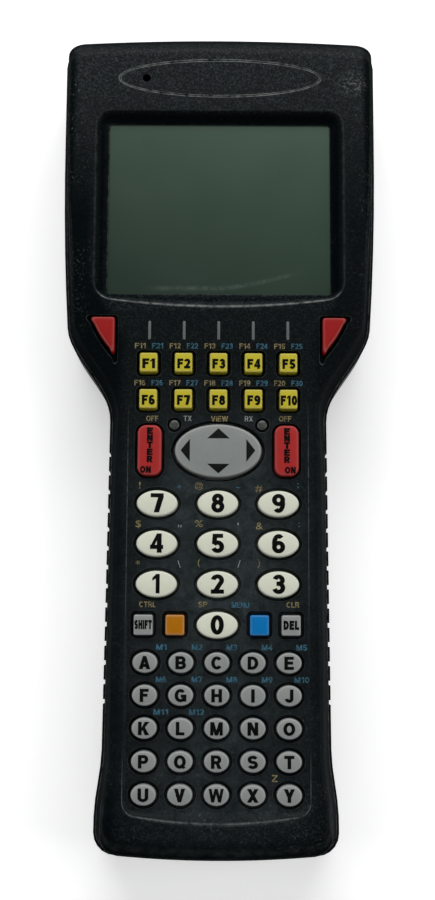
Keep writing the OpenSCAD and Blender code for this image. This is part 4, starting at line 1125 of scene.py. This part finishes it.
        lines = [[(0, 1 - h), (w, 1 - h)]]
        limbs = [((0.15, 0), (0.15 + t * 1.12, 0), (w - t * 1.2, 1 - t), (w, 1 - t))]
    elif letter == "8":
        upper, lower = (0.46 - h) / 2, (0.54 - h) / 2
        loops = [arc(mid, 0.54 + upper, mid - h - 0.03, upper, 0, 337.5, 16),
                 arc(mid, h + lower, mid - h, lower, 0, 337.5, 16)]
    quads = [q for line in lines for q in stroke_quads(line, h)]
    quads += [q for line in loops for q in stroke_quads(line, h, True)]
    quads += [q for limb in limbs for q in slant_quads(*limb)]
    if letter == "9":
        # A nine is a six turned half round.
        quads = [[Vector((w - p[0], 1 - p[1])) for p in q] for q in quads]
    return w, quads


def covers(shape, tri):
    """Whether an anticlockwise triangle holds the middle of another one."""
    middle = (sum(p[0] for p in tri) / 3, sum(p[1] for p in tri) / 3)
    return all(turn_of(shape[i - 1], shape[i], middle) > -1e-6 for i in range(3))


def printed(pieces, crown):
    """One thin solid of ink from flat pieces in mm that may overlap, laid on a key's crown."""
    points, faces = [], []
    for shape in pieces:
        for i in range(1, len(shape) - 1):
            a, b, c = shape[0], shape[i], shape[i + 1]
            turn = turn_of(a, b, c)
            if abs(turn) > 1e-6:
                faces.append(list(range(len(points), len(points) + 3)))
                points += [a, b, c] if turn > 0 else [a, c, b]
    found = delaunay_2d_cdt(points, [], faces, 0, 1e-4)
    flat = [tri for tri, source in zip(found[2], found[5]) if source]
    drawn = sum(turn_of(*(points[i] for i in face)) for face in faces)
    if sum(abs(turn_of(*(found[0][i] for i in tri))) for tri in flat) > 1.01 * drawn:
        # A closed loop came out filled: keep only what lies under a drawn piece.
        flat = [tri for tri in flat if any(covers([points[i] for i in face], [found[0][i] for i in tri])
                                           for face in faces)]
    bm = bmesh.new()
    low, high = {}, {}
    for i in sorted({i for tri in flat for i in tri}):
        x, y = found[0][i]
        low[i] = bm.verts.new((x * MM, y * MM, (crown(x, y) - ink_sink) * MM))
        high[i] = bm.verts.new((x * MM, y * MM, (crown(x, y) + ink_height) * MM))
    edges = set()
    for tri in flat:
        if turn_of(*(found[0][i] for i in tri)) < 0:
            tri = tri[::-1]
        bm.faces.new([high[i] for i in tri])
        bm.faces.new([low[i] for i in tri[::-1]])
        edges |= set(zip(tri, [*tri[1:], tri[0]]))
    for a, b in edges:
        if (b, a) not in edges:
            bm.faces.new((low[a], low[b], high[b], high[a]))
    mesh = bpy.data.meshes.new("print")
    bm.to_mesh(mesh)
    bm.free()
    return mesh


def legend(text, x, y, height, width, crown, weight=0.24):
    """Printed letters centred at (x, y), of a height and a whole width in mm; without one they are plain."""
    pieces, pen = [], 0
    for letter in text:
        w, quads = letter_shape(letter, weight)
        pieces += [[Vector((p[0] + pen, p[1])) for p in q] for q in quads]
        pen += w + letter_gap
    pen -= letter_gap
    wide = plain_width * height if width is None else width / pen
    sized = [[Vector(((p.x - pen / 2) * wide + x, (p.y - 0.5) * height + y)) for p in q] for q in pieces]
    return printed(sized, crown)


def small_print(text, x, y, height, width=None):
    """A printed sign in the plain built-in letters, as a thin solid on the flat face."""
    sign_rise, sign_sink = 0.02, 0.05
    curve = bpy.data.curves.new("print", "FONT")
    curve.body = text
    curve.size = 1
    curve.resolution_u = 4
    curve.offset = 0.002
    curve.extrude = 0.01
    holder = bpy.data.objects.new("print", curve)
    bpy.context.scene.collection.objects.link(holder)
    bpy.context.view_layer.update()
    mesh = bpy.data.meshes.new_from_object(holder.evaluated_get(bpy.context.evaluated_depsgraph_get()))
    bpy.data.objects.remove(holder)
    bpy.data.curves.remove(curve)
    xs, ys = [v.co.x for v in mesh.vertices], [v.co.y for v in mesh.vertices]
    tall = height / (max(ys) - min(ys))
    wide = tall if width is None else width / (max(xs) - min(xs))
    mid_x, mid_y = (max(xs) + min(xs)) / 2, (max(ys) + min(ys)) / 2
    for v in mesh.vertices:
        v.co = ((x + (v.co.x - mid_x) * wide) * MM, (y + (v.co.y - mid_y) * tall) * MM,
                (face_z + (sign_rise if v.co.z > 0 else -sign_sink)) * MM)
    return mesh


def joined(name, meshes, material, body):
    """Several printed marks as one piece."""
    bm = bmesh.new()
    for mesh in meshes:
        bm.from_mesh(mesh)
        bpy.data.meshes.remove(mesh)
    bmesh.ops.remove_doubles(bm, verts=bm.verts, dist=1e-7)
    return piece(name, bm, material, body, sharp=20)


def ink(name, base, other, rub):
    """Screen-printed ink: flat and satin, rubbed thin in patches where fingers go."""
    material, tree, shader, place = new_material(name)
    patches = add(tree, "ShaderNodeTexNoise",
                  {"Vector": place, "Scale": per_mm(0.8), "Detail": 5, "Roughness": 0.7})
    thin = add(tree, "ShaderNodeMapRange", {0: patches.outputs["Fac"], 1: 0.42, 2: 0.62, 3: 0.0, 4: rub})
    tone = add(tree, "ShaderNodeMix", {0: thin.outputs[0], 6: colour(base), 7: colour(other)},
               data_type="RGBA")
    tree.links.new(tone.outputs[2], shader.inputs["Base Color"])
    shader.inputs["Roughness"].default_value = 0.5
    shader.inputs["Specular IOR Level"].default_value = 0.06
    return material


black_ink = ink("black key ink", "#050606", "#101111", 0.5)


def dome(cx, cy, w, h, crown, soft=0.55):
    """The height of a crowned oval top at a place, for a legend to lie on."""
    def height(x, y):
        share = math.hypot((x - cx) / (w / 2 - soft), (y - cy) / (h / 2 - soft))
        return key_top - crown * min(share, 1) ** 2
    return height


# Pigment gives each silicone one even, matt colour; a last number, where given, weakens the painted highlight
# on the rims, which the lighter caps show most.
red_silicone = silicone("red silicone", "#961817", "#8b1413", 0.06)
light_red_silicone = silicone("lighter red silicone", "#a62a29", "#9b2625", 0.05)
yellow_silicone = silicone("yellow silicone", "#c0b330", "#b4a728", 0.12)
pale_silicone = silicone("pale grey silicone", "#dadccb", "#d0d2c0")
grey_silicone = silicone("grey silicone", "#8f9391", "#848987")
orange_silicone = silicone("orange silicone", "#b06e00", "#a46500")
blue_silicone = silicone("blue silicone", "#0071b4", "#0069a8", 0.08)

# The two three-sided scan keys on the shoulders.
for name, x in (("left", -scan_x), ("right", scan_x)):
    bm = cap_mesh(lambda g, x=x: scan_shape(g, x < 0), x, scan_y, crown=0.1, soft=0.6, skirt_rim=0.9)
    key = piece(f"scan_cap_{name}", bm, red_silicone, f"scan_{name}_button")
    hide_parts(f"key_scan_{name}")

# Two rows of yellow function keys, F1 to F10.
for label, (x, y) in function_places.items():
    bm = cap_mesh(lambda g: rounded(5.6, 6.2, 0.6, g), x, y, crown=0.12, soft=0.5)
    key = piece(f"cap_{label}", bm, yellow_silicone, f"{label}_button")
    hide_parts(f"key_{label}")
    wide = 5.2 if label == "f10" else 4.1
    mark = legend(label.upper(), x + 0.1, y - 0.4, 3.15, wide, dome(x, y, 7.9, 8.8, 0.12), weight=0.25)
    joined(f"legend_{label}", [mark], black_ink, f"{label}_button")

# The upright red enter keys, one for each thumb, lettered downwards.
for name, x, on_x in (("left", -enter_x, -enter_x - 1.2), ("right", enter_x, enter_x + 1.1)):
    bm = cap_mesh(lambda g: rounded(7.6, 16, 2.6, g, 8), x, rocker_y, crown=0.15, soft=0.7)
    key = piece(f"enter_cap_{name}", bm, light_red_silicone, f"enter_{name}_button")
    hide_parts(f"key_enter_{name}")
    on_top = dome(x, rocker_y, 10.7, 22.6, 0.15)
    marks = [legend(letter, x + 0.1, rocker_y + 6.1 - 2.25 * i, 2.1, 1.85, on_top, weight=0.27)
             for i, letter in enumerate("ENTER")]
    marks.append(legend("ON", on_x, rocker_y - 6.2, 2.1, 3.4, on_top))
    joined(f"legend_enter_{name}", marks, black_ink, f"enter_{name}_button")

# The number keys, 0 to 9, with large figures.
number_w, number_h, number_crown, number_soft = 12.8, 8.2, 0.3, 0.7
for digit, (x, y) in number_places.items():
    bm = cap_mesh(lambda g: oval(number_w, number_h, g, 56), x, y - 0.1, number_crown, number_soft)
    key = piece(f"cap_{digit}", bm, pale_silicone, f"digit_{digit}_button")
    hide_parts(f"key_{digit}")
    wide = 2.4 if digit == "1" else 4.1
    on_top = dome(x, y - 0.1, number_w, number_h, number_crown, number_soft)
    joined(f"legend_{digit}", [legend(digit, x, y, 6.0, wide, on_top, weight=0.215)], black_ink,
           f"digit_{digit}_button")

# Four small square keys beside the zero.
for name, finish, slot_name, label, wide in (
        ("shift", grey_silicone, "key_grey", "SHIFT", 5.4), ("orange", orange_silicone, "key_orange", "", 0),
        ("blue", blue_silicone, "key_blue", "", 0), ("delete", grey_silicone, "key_grey", "DEL", 4.8)):
    x = square_places[name]
    bm = cap_mesh(lambda g: rounded(5.9, 6.3, 0.6, g), x, zero_y - 0.1, crown=0.12, soft=0.5)
    key = piece(f"cap_{name}", bm, finish, f"{name}_button")
    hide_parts(f"key_{name}")
    if label:
        mark = legend(label, x, zero_y, 2.8, wide, dome(x, zero_y, 8.3, 8.9, 0.12), weight=0.28)
        joined(f"legend_{name}", [mark], black_ink, f"{name}_button")

# Five rows of five oval letter keys; each row is one mesh repeated at the key pitch.
letter_w, letter_h, letter_crown, letter_soft = 7.75, 6.4, 0.25, 0.6
for y, letters in zip(letter_y, ("ABCDE", "FGHIJ", "KLMNO", "PQRST", "UVWXY")):
    span = f"{letters[0]}_to_{letters[-1]}".lower()
    bm = cap_mesh(lambda g: oval(letter_w, letter_h, g, 40), fine_x[0], y, letter_crown, letter_soft)
    keys = in_row(f"caps_{span}", bm, grey_silicone, f"{span}_row", 5, (fine_pitch, 0, 0))
    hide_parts(f"keys_{span}")
    marks = []
    for x, letter in zip(fine_x, letters):
        on_top = dome(x, y, letter_w, letter_h, letter_crown, letter_soft)
        marks.append(legend(letter, x - 0.05, y, 4.0, None, on_top, weight=0.21 if letter in "MX" else 0.23))
    joined(f"legends_{span}", marks, black_ink, f"{span}_row")

# ---- Rocker ----------------------------------------------------------------------
# A wide oval pad in the same grey silicone over a plastic core, crowned, with an
# arrow printed at each of its four sides. It tips on a steel cross under its middle.

rocker_w, rocker_h, rocker_crown, rocker_soft = 27.4, 17.0, 0.35, 0.9
bm = cap_mesh(lambda g: oval(rocker_w, rocker_h, g, 72), 0, rocker_y - 0.1, rocker_crown, rocker_soft,
              skirt_rim=1.5, rim_top=34.8)
rocker = piece("rocker_cap", bm, silicone("darker grey silicone", "#878c89", "#7e8381"), "rocker")
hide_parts("nav_key")
on_rocker = dome(0, rocker_y - 0.1, rocker_w, rocker_h, rocker_crown, rocker_soft)


def arrow(tip, foot, reach):
    """A printed three-sided arrow from its tip to the middle of its base, in pieces that follow the crown."""
    tip, foot = Vector(tip), Vector(foot)
    rows = 8
    along = (foot - tip) / rows
    across = Vector((-along.y, along.x)).normalized() * reach / rows

    def point(i, share):
        return tip + along * i + across * (i * share)

    return printed([[point(i, a), point(i + 1, a), point(i + 1, b), point(i, b)] for i in range(rows)
                    for a, b in ((-1, -0.6), (-0.6, -0.2), (-0.2, 0.2), (0.2, 0.6), (0.6, 1))], on_rocker)


arrows = [arrow((0.1, rocker_y + 7.0), (0.1, rocker_y + 3.8), 3.5),
          arrow((0.1, rocker_y - 7.3), (0.1, rocker_y - 4.3), 3.5),
          arrow((-11.8, rocker_y), (-8.9, rocker_y), 3.6), arrow((11.7, rocker_y), (8.9, rocker_y), 3.6)]
dark_ink = ink("dark grey key ink", "#101212", "#1c1e1e", 0.5)
joined("rocker_arrows", arrows, dark_ink, "rocker")

# ---- Status lights -----------------------------------------------------------------
# Two frosted light pipes of smoke-grey polycarbonate that end in low domes. They
# stand on the keypad board and come up through their own holes in the face.

light_steps = ((-0.1, 32.0), (-0.1, 37.5), (-0.1, 37.75), (-0.25, 37.95), (-0.7, 38.06), (-1.2, 38.1))
lights = bmesh.new()
for x in (-light_x, light_x):
    stack = lofted(lights, profile(lambda g: oval(3.4, 3.4, g, 28), light_steps, x, light_y))
    cap(lights, stack[0], up=False)
    cap(lights, stack[-1])
frosted = moulded("frosted smoke polycarbonate", "#323532", "#434643", 0.35, 1.2, 0.3, 0.02)
light_pipes = piece("light_pipes", lights, frosted, "housing")
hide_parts("status_lights")

# ---- Printed marks -------------------------------------------------------------------
# The second and third meanings of the keys are screen printed on the face in tan and
# blue, with a few in pale grey. Much of the ink is worn.

tan_ink = ink("tan face ink", "#857a58", "#302e26", 0.75)
blue_ink = ink("blue face ink", "#3b6679", "#202c33", 0.75)
pale_ink = ink("pale face ink", "#8b908e", "#3a3e3e", 0.6)
cap_h = 1.75
tan_marks, blue_marks, pale_marks = [], [], []


def face_height(x, y):
    """The height of the ink on the face and on the slope of the lip."""
    low = face_z - 0.03
    t = max((abs(x) - lip_x) / lip_run, 0)
    for (t0, share0), (t1, share1) in zip(lip_slope, lip_slope[1:]):
        if t <= t1:
            return low + lip(y) * (share0 + (share1 - share0) * (t - t0) / (t1 - t0))
    return low + lip(y)


def face_mark(group, text, x, y, height=cap_h, width=None):
    """Adds one mark to a colour's group: letters and figures by strokes, signs in the built-in letters."""
    if text.isalnum():
        group.append(legend(text, x, y, height, width, face_height, 0.17))
    else:
        group.append(small_print(text, x, y, height, width))


for i in range(5):
    for base, y in ((11, 27.35), (16, 15.33)):
        face_mark(tan_marks, f"F{base + i}", fine_x[i] - 2.75, y, width=3.5)
        face_mark(blue_marks, f"F{base + 10 + i}", fine_x[i] + 2.75, y, width=3.6)
for text, x, y, high, wide in (
        ("OFF", -20.9, 3.8, cap_h, 3.9), ("VIEW", 0.4, 3.8, cap_h, 5.4), ("OFF", 21.2, 3.9, cap_h, 3.9),
        ("!", -24.6, -17.5, 2.2, 0.5), ("@", -6.0, -17.7, 2.3, 2.6), ("#", 12.9, -18.5, 2.2, 2.2),
        ("$", -24.9, -29.8, 2.6, 1.7), ("%", -5.9, -29.5, 2.2, 2.6), ("&", 13.1, -30.2, 2.2, 2.3),
        ("*", -24.9, -41.8, 1.4, 1.4), ("(", -5.8, -41.9, 2.6, 0.8), (")", 12.9, -41.9, 2.6, 0.8),
        ("CTRL", -21.7, -54.75, cap_h, 5.2), ("SP", -4.5, -54.7, cap_h, 2.8),
        ("CLR", 23.5, -54.7, cap_h, 4.0), ("Z", 17.8, -107.4, 2.1, 1.8)):
    face_mark(tan_marks, text, x, y, high, wide)
for text, x, y, high, wide in (
        ("+", -12.1, -18.0, 1.5, 1.5), ("-", 6.2, -18.1, 0.35, 1.2), (";", 25.2, -17.5, 1.8, 0.5),
        (":", 25.5, -29.7, 1.5, 0.4), ("MENU", 7.2, -54.8, cap_h, 5.4)):
    face_mark(blue_marks, text, x, y, high, wide)
for i in range(12):
    x = (-17.2, -6.2, 4.6, 15.5, 26.2)[i % 5]
    y = (-67.85, -77.7, -87.6)[i // 5]
    face_mark(blue_marks, f"M{i + 1}", x, y, width=3.3 if i < 9 else 4.6)
for text, x, y, high, wide in (
        ("TX", -9.7, 3.86, cap_h, 2.6), ("RX", 9.7, 3.86, cap_h, 2.6), ("\"", -11.9, -30.4, 0.8, 1.1),
        ("'", 6.4, -29.6, 0.8, 0.4), ("\\", -12.0, -42.2, 2.2, 1.0), ("/", 6.7, -42.1, 2.2, 1.0)):
    face_mark(pale_marks, text, x, y, high, wide)
joined("printed_tan", tan_marks, tan_ink, "housing")
joined("printed_blue", blue_marks, blue_ink, "housing")
joined("printed_pale", pale_marks, pale_ink, "housing")

# ---- Back casing half and what is fixed to it ---------------------------------------
# The back half is the same black ABS with finger grooves down both sides. The
# battery pack and its latch are moulded in it too, with small radii; the connector is plain black ABS.


def softened(node, name, material, body, width):
    """A CAD piece with its edges rounded, as a mould leaves them."""
    bm = bmesh.new()
    bm.from_mesh(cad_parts[node].data)
    bmesh.ops.remove_doubles(bm, verts=bm.verts, dist=2e-6)
    bmesh.ops.dissolve_limit(bm, angle_limit=math.radians(1.5), verts=bm.verts, edges=bm.edges)
    bmesh.ops.recalc_face_normals(bm, faces=bm.faces)
    for face in bm.faces:
        face.smooth = True
    made = placed(name, bm)
    made.data.materials.append(material)
    bevel = made.modifiers.new("moulded edge", "BEVEL")
    bevel.width = width * MM
    bevel.segments = 2
    bevel.limit_method = "ANGLE"
    bevel.angle_limit = math.radians(40)
    bevel.harden_normals = True
    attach(made, body)
    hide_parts(node)
    return made


def back_black_abs():
    """The same black ABS as moulded: matt and even, with the edges' small radii drawn by the shader."""
    material = moulded("black ABS as moulded", "#070a0b", "#121618", 0.6, 14, 0.9, 0.05)
    tree = material.node_tree
    shader = tree.nodes["Principled BSDF"]
    shader.inputs["Specular IOR Level"].default_value = 0.12
    radius = add(tree, "ShaderNodeBevel", {"Radius": 0.45 * MM}, samples=6)
    relief = shader.inputs["Normal"].links[0].from_node
    tree.links.new(radius.outputs[0], relief.inputs["Normal"])
    return material


moulded_abs = back_black_abs()
refinish("rear_housing", moulded_abs)
softened("battery_case", "battery_shell", moulded_abs, "battery_pack", 0.5)
softened("battery_latch", "latch_slider", moulded_abs, "latch", 0.2)

black_abs_plain = moulded("plain black ABS", "#101213", "#191b1c", 0.5, 6, 0.4, 0.04)
for node in ("beeper", "scan_engine", "battery_lid", "dock_connector"):
    refinish(node, black_abs_plain)


def filter_red():
    """Dyed acrylic filter: a dark wine red, smooth and glossy."""
    material, tree, shader, place = new_material("dark red acrylic filter")
    streaks = add(tree, "ShaderNodeTexNoise", {"Vector": place, "Scale": per_mm(8), "Detail": 3})
    tone = add(tree, "ShaderNodeMix", {0: streaks.outputs["Fac"], 6: colour("#470710"), 7: colour("#5a0a14")},
               data_type="RGBA")
    tree.links.new(tone.outputs[2], shader.inputs["Base Color"])
    shader.inputs["Roughness"].default_value = 0.12
    shader.inputs["IOR"].default_value = 1.49
    shader.inputs["Specular IOR Level"].default_value = 0.3
    return material


refinish("scan_window", filter_red())


def rolled_metal(name, base, other, roughness, line_mm):
    """Rolled or plated metal: bright, with fine lines along the rolling."""
    material, tree, shader, place = new_material(name)
    stretch = add(tree, "ShaderNodeMapping", {"Vector": place, "Scale": (0.06, 1, 1)})
    rolling = add(tree, "ShaderNodeTexNoise",
                  {"Vector": stretch.outputs[0], "Scale": per_mm(line_mm), "Detail": 3})
    tone = add(tree, "ShaderNodeMix", {0: rolling.outputs["Fac"], 6: colour(base), 7: colour(other)},
               data_type="RGBA")
    tree.links.new(tone.outputs[2], shader.inputs["Base Color"])
    shader.inputs["Metallic"].default_value = 1
    gloss = add(tree, "ShaderNodeMapRange", {0: rolling.outputs["Fac"], 1: 0.3, 2: 0.7, 3: roughness,
                                             4: roughness + 0.12})
    tree.links.new(gloss.outputs[0], shader.inputs["Roughness"])
    return material


zinc_steel = rolled_metal("zinc-plated steel", "#b4b4b6", "#c8c8c9", 0.3, 0.3)
gold_flash = rolled_metal("gold-flashed brass", "#c9a24f", "#d9b565", 0.25, 0.3)
for node in ("case_screws", "lcd_frame", "nav_pivot"):
    refinish(node, zinc_steel)
# The leaf spring, which flattens against the end of its slot as the latch comes back, gets a mesh of its own.
latch_leaf = softened("latch_spring", "latch_leaf", zinc_steel, "housing", 0.04)
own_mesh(latch_leaf)
for node in ("battery_contacts", "bay_contacts"):
    refinish(node, gold_flash)

# ---- Electronics ---------------------------------------------------------------------
# The boards, the key mat and the cells lie inside and show only where the unit is
# opened: fibreglass under solder mask, cast silicone, and shrink sleeve.


def solder_mask(name, base, track):
    """Solder mask over copper: glossy, with the tracks as a faintly lighter pattern."""
    material, tree, shader, place = new_material(name)
    tracks = add(tree, "ShaderNodeTexBrick",
                 {"Vector": place, "Scale": per_mm(9), "Color1": colour(base), "Color2": colour(base),
                  "Mortar": colour(track), "Mortar Size": 0.03})
    tree.links.new(tracks.outputs["Color"], shader.inputs["Base Color"])
    shader.inputs["Roughness"].default_value = 0.3
    return material


refinish("main_board", solder_mask("green solder mask", "#0e3b20", "#1d5a33"))
refinish("keypad_board", solder_mask("green keypad mask", "#0e3b20", "#1d5a33"))
refinish("radio_card", solder_mask("blue solder mask", "#12304c", "#1d4a70"))
refinish("keypad_mat", silicone("dark grey silicone mat", "#141616", "#1b1d1d"))
refinish("battery_cells", moulded("blue shrink sleeve", "#14305c", "#1a3a6c", 0.3, 8, 1.5, 0.02))
